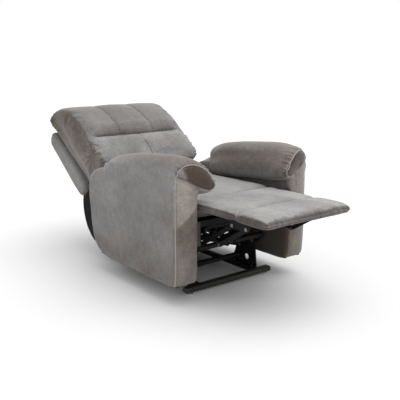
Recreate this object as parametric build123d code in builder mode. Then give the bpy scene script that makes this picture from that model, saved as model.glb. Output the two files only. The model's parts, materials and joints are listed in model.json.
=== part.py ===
from build123d import *
import os
from math import cos, sin, radians, hypot

# Lift recliner chair: a floor base, a four-bar lift, a seat chassis that
# carries the two arms, a reclining back and a fold-out footrest.
# Stored reclined, with the footrest out and the lift down.
# +Z is up, the chair faces -Y. Lengths are millimetres.
# Side profiles are written as (y, z) with y measured from the front of the
# arms; Y0 moves that point so the frame's origin is under the middle.

# ---------------------------------------------------------------- dimensions
Y0 = -501.75             # front of the arms, from the origin

WIDTH = 840.0            # over both arms
ARM_W = 135.0            # one arm, outer face to inner face
ARM_LOW = 90.0           # underside of the arms above the floor
ARM_IN = WIDTH / 2 - ARM_W
WALL = 16.0              # padded cover wall on the arm frame

SEAT_TOP = 478.0
SEAT_HALF = 275.0
PAD_HALF = 270.0
FOOT_AXIS = (-65.0, 460.0)

# lift linkage pivots at rest, (y, z)
PIV_A = (174.4, 180.3)
PIV_C = (479.2, 173.5)
PIV_B = (272.1, 135.5)
PIV_D = (695.7, 77.9)
LIFT_M = (659.3, 75.0)
LIFT_N = (159.3, 258.3)
TORQUE = (118.0, 222.0)

# footrest scissor pivots at rest
FA_P, FA_E, FA_Q = (122.1, 344.6), (-82.1, 295.3), (-269.5, 408.7)
FB_P, FB_E, FB_Q = (167.3, 314.7), (52.8, 265.5), (-178.2, 408.6)

# back hinge, and its actuator pivots
PIV_H = (740.0, 300.0)
BACK_TILT = 34.5         # back above horizontal, reclined
BACK_HALF = 332.0
BACK_NARROW = 272.0
BACK_M = (300.3, 260.0)
BACK_N = (784.1, 233.4)
BACK_X = -100.0

# layers of the side mechanism, distance from the middle plane
X_TOWER, T_TOWER = 203.0, 5.0
X_LIFT, T_LIFT = 212.0, 5.0
X_CHAS, T_CHAS = 222.0, 4.0
X_FL1, X_FL2, T_FL = 229.0, 236.0, 4.0
X_FBR = 243.0

PIN = 6.0                # lift pivot pin radius
RUN = 0.06               # running clearance, radial
OPEN_LIFT = 4.4          # extra radius at the opened lift pivot
OPEN_ACT = 6.4           # extra radius at the opened lift actuator eye
OPEN_BACK = 3.6          # extra radius at the opened back actuator eye
OPEN_FOOT = 0.9          # extra radius at the opened footrest pivots

BASE_Z0, BASE_Z1 = 10.0, 37.0

os.makedirs("parts", exist_ok=True)


def side(x):
    return Plane(origin=(x, Y0, 0), x_dir=(0, 1, 0), z_dir=(1, 0, 0))


def front(y):
    return Plane(origin=(0, Y0 + y, 0), x_dir=(1, 0, 0), z_dir=(0, -1, 0))


def plan(z):
    return Plane(origin=(0, Y0, z), x_dir=(1, 0, 0), z_dir=(0, 0, 1))


def along(p, q, x):
    """Plane at point p of the side view, normal along p to q."""
    d = (0, q[0] - p[0], q[1] - p[1])
    return Plane(origin=(x, Y0 + p[0], p[1]), x_dir=(1, 0, 0), z_dir=d)


def on_line(p, q, s):
    n = hypot(q[0] - p[0], q[1] - p[1])
    return (p[0] + (q[0] - p[0]) * s / n, p[1] + (q[1] - p[1]) * s / n)


def back(u, v):
    """Side-view point from distances along (u) and in front of (v) the back."""
    c, s = cos(radians(BACK_TILT)), sin(radians(BACK_TILT))
    return (PIV_H[0] + u * c - v * s, PIV_H[1] + u * s + v * c)


def save(builder, name):
    builder.part.label = name
    export_step(builder.part, "parts/" + name + ".step")


# ==================================================================== base
with BuildPart() as base_cross_tubes:
    with BuildSketch(side(-266)):
        with Locations((126, (BASE_Z0 + BASE_Z1) / 2), (704, (BASE_Z0 + BASE_Z1) / 2)):
            RectangleRounded(42, BASE_Z1 - BASE_Z0, 8)
            RectangleRounded(37, BASE_Z1 - BASE_Z0 - 5, 5.5, mode=Mode.SUBTRACT)
    extrude(amount=532)
save(base_cross_tubes, "base_cross_tubes")

with BuildPart() as base_side_tubes:
    with BuildSketch(front(147)):
        with Locations((195, (BASE_Z0 + BASE_Z1) / 2)):
            RectangleRounded(26, BASE_Z1 - BASE_Z0, 4)
            RectangleRounded(21, BASE_Z1 - BASE_Z0 - 5, 2, mode=Mode.SUBTRACT)
    extrude(amount=-(683 - 147))
    mirror(about=Plane.YZ)
save(base_side_tubes, "base_side_tubes")

with BuildPart() as base_end_caps:
    for yc in (126, 704):
        with BuildSketch(side(266)):
            with Locations((yc, (BASE_Z0 + BASE_Z1) / 2)):
                RectangleRounded(42, BASE_Z1 - BASE_Z0, 8)
        extrude(amount=14)
    fillet(base_end_caps.faces().sort_by(Axis.X)[-2:].edges(), 5)
    mirror(about=Plane.YZ)
save(base_end_caps, "base_end_caps")

with BuildPart() as levelling_glides:
    with BuildSketch(plan(0)):
        with Locations((250, 126), (250, 704)):
            Circle(17)
    extrude(amount=5)
    chamfer(levelling_glides.faces().sort_by(Axis.Z)[-2:].edges(), 1.5)
    with BuildSketch(plan(5)):
        with Locations((250, 126), (250, 704)):
            Circle(6)
    extrude(amount=5)
    mirror(about=Plane.YZ)
save(levelling_glides, "levelling_glides")

with BuildPart() as lift_towers:
    with BuildSketch(side(X_TOWER)):
        with Locations(PIV_A, PIV_B):
            Circle(20)
        with Locations((150, 42), (318, 42)):
            Rectangle(20, 10)
        make_hull()
        with Locations(PIV_A, PIV_B):
            Circle(PIN, mode=Mode.SUBTRACT)
        with Locations((215, 78)):
            Circle(16, mode=Mode.SUBTRACT)
    extrude(amount=T_TOWER)
    with BuildSketch(plan(BASE_Z1)):
        with Locations((193, 234)):
            Rectangle(20, 188)
    extrude(amount=4)
    mirror(about=Plane.YZ)
save(lift_towers, "lift_towers")

with BuildPart() as tower_bolts:
    with BuildSketch(plan(BASE_Z1 + 4)):
        with Locations((193, 165), (193, 303)):
            RegularPolygon(7, 6)
    extrude(amount=5)
    mirror(about=Plane.YZ)
save(tower_bolts, "tower_bolts")

with BuildPart() as tower_cross_tube:
    with BuildSketch(side(-X_TOWER)):
        with Locations((262, 84)):
            RectangleRounded(26, 22, 5)
            RectangleRounded(21, 17, 3, mode=Mode.SUBTRACT)
    extrude(amount=2 * X_TOWER)
save(tower_cross_tube, "tower_cross_tube")

with BuildPart() as lift_pivot_pins:
    for p in (PIV_A, PIV_B):
        with BuildSketch(side(X_TOWER - 3)):
            with Locations(p):
                Circle(10)
        extrude(amount=3)
        with BuildSketch(side(X_TOWER)):
            with Locations(p):
                Circle(PIN)
        extrude(amount=X_LIFT + T_LIFT + 0.5 - X_TOWER)
        with BuildSketch(side(X_LIFT + T_LIFT + 0.5)):
            with Locations(p):
                Circle(10)
        extrude(amount=2.5)
        with BuildSketch(side(X_TOWER + T_TOWER)):
            with Locations(p):
                Circle(11)
        extrude(amount=X_LIFT - X_TOWER - T_TOWER - 0.5)
    mirror(about=Plane.YZ)
    # cross pin of the lift motor's anchor
    with BuildSketch(side(-32)):
        with Locations(LIFT_M):
            Circle(5)
    extrude(amount=64)
    for x in (-35, 32):
        with BuildSketch(side(x)):
            with Locations(LIFT_M):
                Circle(8)
        extrude(amount=3)
save(lift_pivot_pins, "lift_pivot_pins")

# rear anchor for the lift motor: a two-ear clevis and its pin
with BuildPart() as lift_motor_anchor:
    with BuildSketch(plan(BASE_Z1)):
        with Locations((0, 700)):
            Rectangle(76, 30)
    extrude(amount=4)
    for x in (-32, 27):
        with BuildSketch(side(x)):
            with Locations(LIFT_M):
                Circle(12)
            with Locations((702, 44)):
                Rectangle(24, 8)
            make_hull()
            with Locations(LIFT_M):
                Circle(5, mode=Mode.SUBTRACT)
        extrude(amount=5)
save(lift_motor_anchor, "lift_motor_anchor")

# ========================================================== front lift links
with BuildPart() as front_lift_links:
    with BuildSketch(side(X_LIFT)):
        with BuildSketch(mode=Mode.PRIVATE) as arm_a:
            with Locations(PIV_A, PIV_C):
                Circle(15.5)
            make_hull()
        with BuildSketch(mode=Mode.PRIVATE) as arm_b:
            with Locations(PIV_A, TORQUE):
                Circle(18)
            make_hull()
        add(arm_a.sketch)
        add(arm_b.sketch)
        with Locations(PIV_A, PIV_C):
            Circle(PIN + RUN, mode=Mode.SUBTRACT)
    extrude(amount=T_LIFT)
    mirror(about=Plane.YZ)
save(front_lift_links, "front_lift_links")

with BuildPart() as lift_torque_tube:
    with BuildSketch(side(-X_LIFT)):
        with Locations(TORQUE):
            Circle(14)
            Circle(11, mode=Mode.SUBTRACT)
    extrude(amount=2 * X_LIFT)
    for x in (-24, 19):
        with BuildSketch(side(x)):
            with Locations(LIFT_N):
                Circle(12)
            with Locations(TORQUE):
                Circle(20)
            make_hull()
            with Locations(TORQUE):
                Circle(12, mode=Mode.SUBTRACT)
            with Locations(LIFT_N):
                Circle(5, mode=Mode.SUBTRACT)
        extrude(amount=5)
save(lift_torque_tube, "lift_torque_tube")

with BuildPart() as lift_rod_pin:
    with BuildSketch(side(-24)):
        with Locations(LIFT_N):
            Circle(5)
    extrude(amount=48)
    for x in (-27, 24):
        with BuildSketch(side(x)):
            with Locations(LIFT_N):
                Circle(8)
        extrude(amount=3)
save(lift_rod_pin, "lift_rod_pin")

# =========================================================== rear lift links
with BuildPart() as rear_lift_links:
    with BuildSketch(side(X_LIFT)):
        with Locations(PIV_B):
            Circle(15)
        with Locations(PIV_D):
            Circle(17)
        make_hull()
        with Locations(PIV_B):
            Circle(PIN + RUN, mode=Mode.SUBTRACT)
        with Locations(PIV_D):
            Circle(PIN + OPEN_LIFT, mode=Mode.SUBTRACT)
    extrude(amount=T_LIFT)
    mirror(about=Plane.YZ)
save(rear_lift_links, "rear_lift_links")

# ============================================================ lift actuator
# the rod swings on the crank ears; the motor end is the opened pivot
with BuildPart() as lift_rod:
    with BuildSketch(along(on_line(LIFT_N, LIFT_M, 9), LIFT_M, 0)):
        Circle(9)
    extrude(amount=240)
    with BuildSketch(side(-14)):
        with Locations(LIFT_N):
            Circle(12)
    extrude(amount=28)
    with BuildSketch(side(-20)):
        with Locations(LIFT_N):
            Circle(5 + RUN)
    extrude(amount=40, mode=Mode.SUBTRACT)
save(lift_rod, "lift_rod")

with BuildPart() as lift_outer_tube:
    with BuildSketch(along(on_line(LIFT_N, LIFT_M, 90), LIFT_M, 0)):
        Circle(16)
        Circle(9.5, mode=Mode.SUBTRACT)
    extrude(amount=370)
    with BuildSketch(along(on_line(LIFT_N, LIFT_M, 84), LIFT_M, 0)):
        Circle(18)
        Circle(9.5, mode=Mode.SUBTRACT)
    extrude(amount=12)
save(lift_outer_tube, "lift_outer_tube")

with BuildPart() as lift_gearbox:
    with BuildSketch(along(on_line(LIFT_N, LIFT_M, 460), LIFT_M, 0)):
        RectangleRounded(54, 50, 10)
    extrude(amount=52)
    with BuildSketch(side(-24)):
        with Locations(LIFT_M):
            Circle(19)
        with Locations(on_line(LIFT_N, LIFT_M, 508)):
            Circle(14)
        make_hull()
    extrude(amount=48)
    with BuildSketch(side(-30)):
        with Locations(LIFT_M):
            Circle(5 + OPEN_ACT)
    extrude(amount=60, mode=Mode.SUBTRACT)
save(lift_gearbox, "lift_gearbox")

with BuildPart() as lift_motor:
    with BuildSketch(side(27)):
        with Locations(on_line(LIFT_N, LIFT_M, 486)):
            Circle(24)
    extrude(amount=92)
    fillet(lift_motor.faces().sort_by(Axis.X)[-1].edges(), 6)
save(lift_motor, "lift_motor")

# ================================================================== chassis
with BuildPart() as chassis_side_plates:
    with BuildSketch(side(X_CHAS)):
        with BuildLine():
            Polyline(
                (92, 362), (92, 326), (150, 292), (214, 282), (405, 238),
                (452, 148), (508, 148), (596, 150), (668, 58), (798, 62),
                (798, 96), (752, 118), (764, 282), (764, 326), (700, 334),
                (205, 334), (185, 362), (92, 362),
            )
        make_face()
        with Locations(PIV_C, PIV_D, PIV_H):
            Circle(PIN, mode=Mode.SUBTRACT)
        with Locations(FA_P, FB_P):
            Circle(5, mode=Mode.SUBTRACT)
        with Locations((585, 215), (665, 205)):
            Circle(22, mode=Mode.SUBTRACT)
    extrude(amount=T_CHAS)
    mirror(about=Plane.YZ)
save(chassis_side_plates, "chassis_side_plates")

with BuildPart() as chassis_cross_bars:
    with BuildSketch(side(-X_CHAS)):
        with Locations((266, 296), (470, 300), (780, 79)):
            RectangleRounded(24, 24, 4)
            RectangleRounded(20, 20, 2, mode=Mode.SUBTRACT)
    extrude(amount=2 * X_CHAS)
    # ears welded under the front bar for the back motor
    for x in (BACK_X - 24, BACK_X + 19):
        with BuildSketch(side(x)):
            with Locations(BACK_M):
                Circle(11)
            with Locations((266, 282)):
                Rectangle(22, 6)
            make_hull()
            with Locations(BACK_M):
                Circle(5, mode=Mode.SUBTRACT)
        extrude(amount=5)
save(chassis_cross_bars, "chassis_cross_bars")

with BuildPart() as chassis_pivot_pins:
    for p in (PIV_C, PIV_D):
        with BuildSketch(side(X_LIFT - 0.5)):
            with Locations(p):
                Circle(PIN)
        extrude(amount=X_CHAS + T_CHAS - X_LIFT + 0.5)
        with BuildSketch(side(X_CHAS + T_CHAS)):
            with Locations(p):
                Circle(10)
        extrude(amount=2.5)
        with BuildSketch(side(X_LIFT - 3)):
            with Locations(p):
                Circle(14 if p is PIV_D else 10)
        extrude(amount=2.5)
        with BuildSketch(side(X_LIFT + T_LIFT + 0.5)):
            with Locations(p):
                Circle(9)
        extrude(amount=X_CHAS - X_LIFT - T_LIFT - 0.5)
    for p in (FA_P, FB_P):
        with BuildSketch(side(X_CHAS)):
            with Locations(p):
                Circle(5)
        extrude(amount=X_FL1 + T_FL + 0.5 - X_CHAS)
        with BuildSketch(side(X_CHAS - 2.5)):
            with Locations(p):
                Circle(9)
        extrude(amount=2.5)
        with BuildSketch(side(X_CHAS + T_CHAS)):
            with Locations(p):
                Circle(8)
        extrude(amount=2.5)
        with BuildSketch(side(X_FL1 + T_FL + 0.5)):
            with Locations(p):
                Circle(8)
        extrude(amount=1.5)
    mirror(about=Plane.YZ)
    # cross pin of the back motor's ears
    with BuildSketch(side(BACK_X - 24)):
        with Locations(BACK_M):
            Circle(5)
    extrude(amount=48)
    for x in (BACK_X - 27, BACK_X + 24):
        with BuildSketch(side(x)):
            with Locations(BACK_M):
                Circle(8)
        extrude(amount=3)
save(chassis_pivot_pins, "chassis_pivot_pins")

with BuildPart() as back_hinge_bolts:
    with BuildSketch(side(X_CHAS)):
        with Locations(PIV_H):
            Circle(PIN)
    extrude(amount=X_FL1 + 6 + 0.5 - X_CHAS)
    with BuildSketch(side(X_CHAS - 4)):
        with Locations(PIV_H):
            RegularPolygon(10, 6)
    extrude(amount=4)
    with BuildSketch(side(X_CHAS + T_CHAS)):
        with Locations(PIV_H):
            Circle(10)
    extrude(amount=2.5)
    with BuildSketch(side(X_FL1 + 6.5)):
        with Locations(PIV_H):
            Circle(10)
    extrude(amount=3)
    mirror(about=Plane.YZ)
save(back_hinge_bolts, "back_hinge_bolts")

# wooden seat box, its four angle brackets and its springs
with BuildPart() as seat_side_rails:
    with BuildSketch(side(265)):
        with BuildLine():
            Polyline((22, 270), (700, 270), (700, 384), (22, 384), (22, 270))
        make_face()
    extrude(amount=ARM_IN - 265)
    mirror(about=Plane.YZ)
save(seat_side_rails, "seat_side_rails")

with BuildPart() as seat_cross_rails:
    with BuildSketch(side(-265)):
        with Locations((47, 369)):
            Rectangle(24, 30)
        with Locations((664, 360)):
            Rectangle(24, 48)
    extrude(amount=530)
save(seat_cross_rails, "seat_cross_rails")

with BuildPart() as seat_rail_brackets:
    for yc in (310, 620):
        with BuildSketch(side(X_CHAS + T_CHAS)):
            with Locations((yc, 320)):
                Rectangle(46, 4)
        extrude(amount=265 - X_CHAS - T_CHAS)
        with BuildSketch(side(261)):
            with Locations((yc, 340)):
                Rectangle(46, 40)
        extrude(amount=4)
        with BuildSketch(side(X_CHAS + T_CHAS)):
            with Locations((yc, 303)):
                Rectangle(46, 34)
        extrude(amount=3)
    mirror(about=Plane.YZ)
save(seat_rail_brackets, "seat_rail_brackets")

with BuildPart() as seat_springs:
    ys = [60 + 37 * i for i in range(17)]
    for xc in (-180, -90, 0, 90, 180):
        pts = [(xc, 61.5)]
        for i in range(1, 16):
            sgn = 1 if i % 2 else -1
            pts.append((xc + 22 * sgn, ys[i] - 9))
            pts.append((xc + 22 * sgn, ys[i] + 9))
        pts.append((xc, 650.5))
        with BuildLine(plan(376)) as wire:
            FilletPolyline(*pts, radius=7)
        with BuildSketch(Plane(origin=wire.line @ 0, z_dir=wire.line % 0)):
            Circle(1.9)
        sweep(path=wire.line)
save(seat_springs, "seat_springs")

with BuildPart() as seat_dust_cover:
    with BuildSketch(plan(338)):
        with Locations((0, 356)):
            Rectangle(2 * (X_CHAS - 10), 560)
    extrude(amount=1.6)
save(seat_dust_cover, "seat_dust_cover")

with BuildPart() as seat_cushion:
    with BuildSketch(side(-SEAT_HALF)):
        with BuildLine():
            Polyline((112, 386), (700, 386), (712, 404), (712, 455), (694, 474),
                     (420, SEAT_TOP - 3), (130, SEAT_TOP), (112, SEAT_TOP - 12), (112, 386))
        make_face()
    extrude(amount=2 * SEAT_HALF)
    fillet(seat_cushion.edges().filter_by(Axis.Y, tolerance=2).group_by(Axis.Z)[-1], 14)
save(seat_cushion, "seat_cushion")

with BuildPart() as chaise_pad:
    with BuildSketch(side(-PAD_HALF)):
        with BuildLine():
            Polyline((-57.5, 460.5), (-57.5, 478), (108, 478), (108, 386), (64, 386),
                     (64, 436), (-33, 436), (-57.5, 460.5))
        make_face()
    extrude(amount=2 * PAD_HALF)
save(chaise_pad, "chaise_pad")

# ---- arms: a boarded frame inside an upholstered shell, a draped pad on top
ARM_SIDE = [(6, 128), (12, 104), (30, ARM_LOW), (131, 89), (249, 90), (441, 88), (622, 90),
            (690, 104), (738, 134), (760, 180), (775, 250), (790, 361), (799, 437),
            (790, 474), (750, 511), (680, 543), (592, 564), (536, 573), (400, 590),
            (250, 598), (60, 600), (6, 600)]
ARM_SIDE_IN = [(6 + WALL, 80), (735 - WALL, 80), (744, 180), (759, 250), (774, 361),
               (782, 435), (774, 462), (740, 494), (676, 525), (588, 546), (400, 572),
               (250, 580), (6 + WALL, 582)]
ARM_FRONT = [(WIDTH / 2, ARM_LOW - 5), (WIDTH / 2, 600), (412, 604), (ARM_IN, 508), (ARM_IN, ARM_LOW - 5)]
ARM_FRONT_IN = [(WIDTH / 2 - WALL, 70), (WIDTH / 2 - WALL, 583), (ARM_IN + 12, 497), (ARM_IN + 12, 70)]

for sgn, tag in ((-1, "right"), (1, "left")):
    with BuildPart() as arm_cover:
        with BuildSketch(side(0)):
            with BuildLine():
                Polyline(*ARM_SIDE, ARM_SIDE[0])
            make_face()
        extrude(amount=sgn * 500)
        with BuildSketch(front(-50)):
            with BuildLine():
                Polyline(*[(sgn * x, z) for x, z in ARM_FRONT], (sgn * ARM_FRONT[0][0], ARM_FRONT[0][1]))
            make_face()
        extrude(amount=-1000, mode=Mode.INTERSECT)
    with BuildPart() as arm_void:
        with BuildSketch(side(0)):
            with BuildLine():
                Polyline(*ARM_SIDE_IN, ARM_SIDE_IN[0])
            make_face()
        extrude(amount=sgn * 500)
        with BuildSketch(front(-50)):
            with BuildLine():
                Polyline(*[(sgn * x, z) for x, z in ARM_FRONT_IN], (sgn * ARM_FRONT_IN[0][0], ARM_FRONT_IN[0][1]))
            make_face()
        extrude(amount=-1000, mode=Mode.INTERSECT)
    with BuildPart() as arm_shell:
        add(arm_cover.part)
        add(arm_void.part, mode=Mode.SUBTRACT)
    save(arm_shell, "arm_cover_" + tag)

    # frame: outer and inner boards tied by a front post and two rails
    with BuildPart() as arm_frame:
        x_out, x_in = WIDTH / 2 - WALL, ARM_IN + 12
        for a, b, top in ((x_out - 12, x_out, 560), (x_in, x_in + 12, 488)):
            with BuildSketch(side(sgn * a)):
                with BuildLine():
                    Polyline((22, 96), (700, 96), (735, 190), (768, 400), (768, 450),
                             (700, min(top, 505)), (560, min(top, 540)), (22, top), (22, 96))
                make_face()
            extrude(amount=sgn * (b - a))
        # glue lines of 0.1 mm keep the boards separate solids
        with BuildSketch(side(sgn * (x_in + 12.1))):
            with Locations((40, 290)):
                Rectangle(36, 380)
            with Locations((400, 112)):
                Rectangle(560, 30)
            with Locations((400, 460)):
                Rectangle(560, 30)
        extrude(amount=sgn * (x_out - x_in - 24.2))
    save(arm_frame, "arm_frame_" + tag)

    with BuildPart() as arm_pad:
        with BuildSketch(front(30)):
            with BuildLine():
                Polyline(*[(sgn * x, z) for x, z in (
                    (418, 601), (419, 630), (412, 657), (394, 674), (362, 686), (325, 690),
                    (287, 680), (255, 656), (228, 622), (214, 586), (214, 560), (226, 543),
                    (262, 535), (284, 535), (284, 512), (412, 605), (418, 601))])
            make_face()
        extrude(amount=60)
        extrude(arm_pad.faces().sort_by(Axis.Y)[-1], amount=640)
    with BuildPart() as arm_pad_trim:
        add(arm_pad.part)
        with BuildSketch(side(0)):
            with BuildLine():
                Polyline((-30, 540), (-34, 600), (-26, 650), (0, 682), (66, 691), (163, 689), (278, 679),
                         (400, 664), (556, 638), (636, 610), (668, 586), (672, 551), (600, 568),
                         (575, 566), (574, 500), (-10, 500), (-30, 540))
            make_face()
        extrude(amount=sgn * 500, mode=Mode.INTERSECT)
        with BuildSketch(plan(400)):
            with Locations((sgn * 243, 640)):
                Rectangle(86, 130)
        extrude(amount=400, mode=Mode.SUBTRACT)
    save(arm_pad_trim, "arm_pad_" + tag)

with BuildPart() as arm_bolts:
    for yc in (150, 560):
        with BuildSketch(side(258)):
            with Locations((yc, 300)):
                RegularPolygon(8, 6)
        extrude(amount=7)
    mirror(about=Plane.YZ)
save(arm_bolts, "arm_bolts")

with BuildPart() as control_box:
    with BuildSketch(plan(286)):
        with Locations((112, 532)):
            RectangleRounded(84, 100, 8)
    extrude(amount=30)
    fillet(control_box.faces().sort_by(Axis.Z)[0].edges(), 3)
save(control_box, "control_box")

# ============================================================ back actuator
with BuildPart() as back_gearbox:
    with BuildSketch(along(on_line(BACK_M, BACK_N, 20), BACK_N, BACK_X)):
        RectangleRounded(50, 44, 9)
    extrude(amount=48)
    with BuildSketch(side(BACK_X - 17)):
        with Locations(BACK_M):
            Circle(12)
        with Locations(on_line(BACK_M, BACK_N, 24)):
            Circle(14)
        make_hull()
    extrude(amount=34)
    with BuildSketch(side(BACK_X - 30)):
        with Locations(BACK_M):
            Circle(5 + RUN)
    extrude(amount=60, mode=Mode.SUBTRACT)
save(back_gearbox, "back_gearbox")

with BuildPart() as back_motor:
    with BuildSketch(side(BACK_X - 25 - 78)):
        with Locations(on_line(BACK_M, BACK_N, 44)):
            Circle(21)
    extrude(amount=78)
    fillet(back_motor.faces().sort_by(Axis.X)[0].edges(), 6)
save(back_motor, "back_motor")

with BuildPart() as back_outer_tube:
    with BuildSketch(along(on_line(BACK_M, BACK_N, 68), BACK_N, BACK_X)):
        Circle(14)
        Circle(9.5, mode=Mode.SUBTRACT)
    extrude(amount=330)
save(back_outer_tube, "back_outer_tube")

L_BACK = hypot(BACK_N[0] - BACK_M[0], BACK_N[1] - BACK_M[1])
with BuildPart() as back_rod:
    with BuildSketch(along(on_line(BACK_M, BACK_N, L_BACK - 8), BACK_M, BACK_X)):
        Circle(9)
    extrude(amount=210)
    with BuildSketch(side(BACK_X - 12)):
        with Locations(BACK_N):
            Circle(14)
    extrude(amount=24)
    with BuildSketch(side(BACK_X - 20)):
        with Locations(BACK_N):
            Circle(5 + OPEN_BACK)
    extrude(amount=40, mode=Mode.SUBTRACT)
save(back_rod, "back_rod")

# ===================================================================== back
with BuildPart() as back_hinge_brackets:
    with BuildSketch(side(X_FL1)):
        with Locations(PIV_H):
            Circle(18)
        with Locations(back(90, -62), back(90, -95)):
            Circle(12)
        make_hull()
        with Locations(PIV_H):
            Circle(PIN + RUN, mode=Mode.SUBTRACT)
    extrude(amount=6)
    mirror(about=Plane.YZ)
save(back_hinge_brackets, "back_hinge_brackets")

with BuildPart() as back_side_rails:
    with BuildSketch(side(235)):
        with BuildLine():
            Polyline(back(40, -112), back(726, -112), back(726, -46), back(40, -46), back(40, -112))
        make_face()
    extrude(amount=24)
    mirror(about=Plane.YZ)
save(back_side_rails, "back_side_rails")

with BuildPart() as back_cross_rails:
    for u, half in ((62, 229), (300, 235), (500, 235), (702, 235)):
        with BuildSketch(side(-half)):
            with BuildLine():
                Polyline(back(u - 22, -100), back(u + 22, -100), back(u + 22, -76), back(u - 22, -76), back(u - 22, -100))
            make_face()
        extrude(amount=2 * half)
save(back_cross_rails, "back_cross_rails")

with BuildPart() as back_wing_frames:
    with BuildSketch(side(259)):
        with BuildLine():
            Polyline(back(285, -112), back(726, -112), back(726, -46), back(285, -46), back(285, -112))
        make_face()
    extrude(amount=BACK_HALF - 12 - 259)
    with BuildSketch(side(279)):
        with BuildLine():
            Polyline(back(305, -120), back(706, -120), back(706, -30), back(305, -30), back(305, -120))
        make_face()
    extrude(amount=BACK_HALF - 32 - 279, mode=Mode.SUBTRACT)
    mirror(about=Plane.YZ)
save(back_wing_frames, "back_wing_frames")

with BuildPart() as back_actuator_bracket:
    for x in (BACK_X - 22, BACK_X + 17):
        with BuildSketch(side(x)):
            with Locations(BACK_N):
                Circle(11)
            with Locations(back(48, -88), back(70, -88)):
                Circle(9)
            make_hull()
            with Locations(BACK_N):
                Circle(5, mode=Mode.SUBTRACT)
        extrude(amount=5)
    with BuildSketch(side(BACK_X - 40)):
        with BuildLine():
            Polyline(back(38, -102), back(86, -102), back(86, -74), back(38, -74), back(38, -102))
        make_face()
    extrude(amount=80, mode=Mode.SUBTRACT)
save(back_actuator_bracket, "back_actuator_bracket")

with BuildPart() as back_actuator_pin:
    with BuildSketch(side(BACK_X - 22)):
        with Locations(BACK_N):
            Circle(5)
    extrude(amount=44)
    for x in (BACK_X - 25, BACK_X + 22):
        with BuildSketch(side(x)):
            with Locations(BACK_N):
                Circle(8)
        extrude(amount=3)
save(back_actuator_pin, "back_actuator_pin")

with BuildPart() as outer_back_panel:
    with BuildSketch(side(-BACK_HALF)):
        with BuildLine():
            Polyline(back(262, -145), back(700, -133), back(736, -128), back(750, -105), back(744, -40),
                     back(728, -40), back(728, -114), back(262, -114), back(262, -145))
        make_face()
    extrude(amount=2 * BACK_HALF)
save(outer_back_panel, "outer_back_panel")

# the padded back: lumbar part low and narrow to pass between the arms,
# head part above it, both over the wide frame
with BuildPart() as lumbar_cushion:
    with BuildSketch(side(-BACK_HALF)):
        with BuildLine():
            Polyline(back(262, -38), back(262, 6), back(296, 100), back(306, 206), back(402, 206),
                     back(402, -38), back(262, -38))
        make_face()
    extrude(amount=2 * BACK_HALF)
    with BuildSketch(side(-BACK_NARROW)):
        with BuildLine():
            Polyline(back(222, -38), back(212, 20), back(198, 105), back(148, 186), back(158, 202),
                     back(270, 206), back(402, 206), back(402, -38), back(222, -38))
        make_face()
    extrude(amount=2 * BACK_NARROW)
save(lumbar_cushion, "lumbar_cushion")

with BuildPart() as head_cushion:
    with BuildSketch(side(-BACK_HALF)):
        with BuildLine():
            Polyline(back(404, -38), back(404, 206), back(520, 206), back(613, 190), back(662, 172),
                     back(745, 118), back(800, 40), back(818, -8), back(806, -34), back(764, -38),
                     back(404, -38))
        make_face()
    extrude(amount=2 * BACK_HALF)
save(head_cushion, "head_cushion")

with BuildPart() as rear_dust_cover:
    with BuildSketch(side(-300)):
        with BuildLine():
            Polyline((1032, 322), (1040, 247), (1010, 172), (946, 106), (806, 72),
                     (806, 75), (944, 109.5), (1007, 174), (1037, 247.5), (1029, 322), (1032, 322))
        make_face()
    extrude(amount=600)
save(rear_dust_cover, "rear_dust_cover")

# ================================================================= footrest
with BuildPart() as footrest_board:
    with BuildSketch(side(-262)):
        with Locations((-251, 440)):
            Rectangle(300, 12)
    extrude(amount=524)
save(footrest_board, "footrest_board")

with BuildPart() as footrest_pad:
    with BuildSketch(side(-PAD_HALF)):
        with BuildLine():
            Polyline((-420, 434), (-401.5, 434), (-401.5, 446.5), (-86, 446.5), (-72.5, 460.5),
                     (-72.5, 478), (-408, 480), (-420, 468), (-420, 434))
        make_face()
    extrude(amount=2 * PAD_HALF)
save(footrest_pad, "footrest_pad")

with BuildPart() as footrest_brackets:
    with BuildSketch(side(X_FBR)):
        with Locations(FA_Q, FB_Q):
            Circle(12)
        with Locations((-224, 431)):
            Rectangle(150, 6)
        make_hull()
        with Locations(FA_Q, FB_Q):
            Circle(5, mode=Mode.SUBTRACT)
    extrude(amount=4)
    with BuildSketch(side(X_FBR)):
        with Locations((-224, 432)):
            Rectangle(150, 4)
    extrude(amount=17)
    mirror(about=Plane.YZ)
save(footrest_brackets, "footrest_brackets")

with BuildPart() as footrest_bracket_pins:
    for p in (FA_Q, FB_Q):
        with BuildSketch(side(X_FL2 - 1)):
            with Locations(p):
                Circle(5)
        extrude(amount=X_FBR + 4 - X_FL2 + 1)
        with BuildSketch(side(X_FBR + 4)):
            with Locations(p):
                Circle(8)
        extrude(amount=2)
    mirror(about=Plane.YZ)
save(footrest_bracket_pins, "footrest_bracket_pins")

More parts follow.
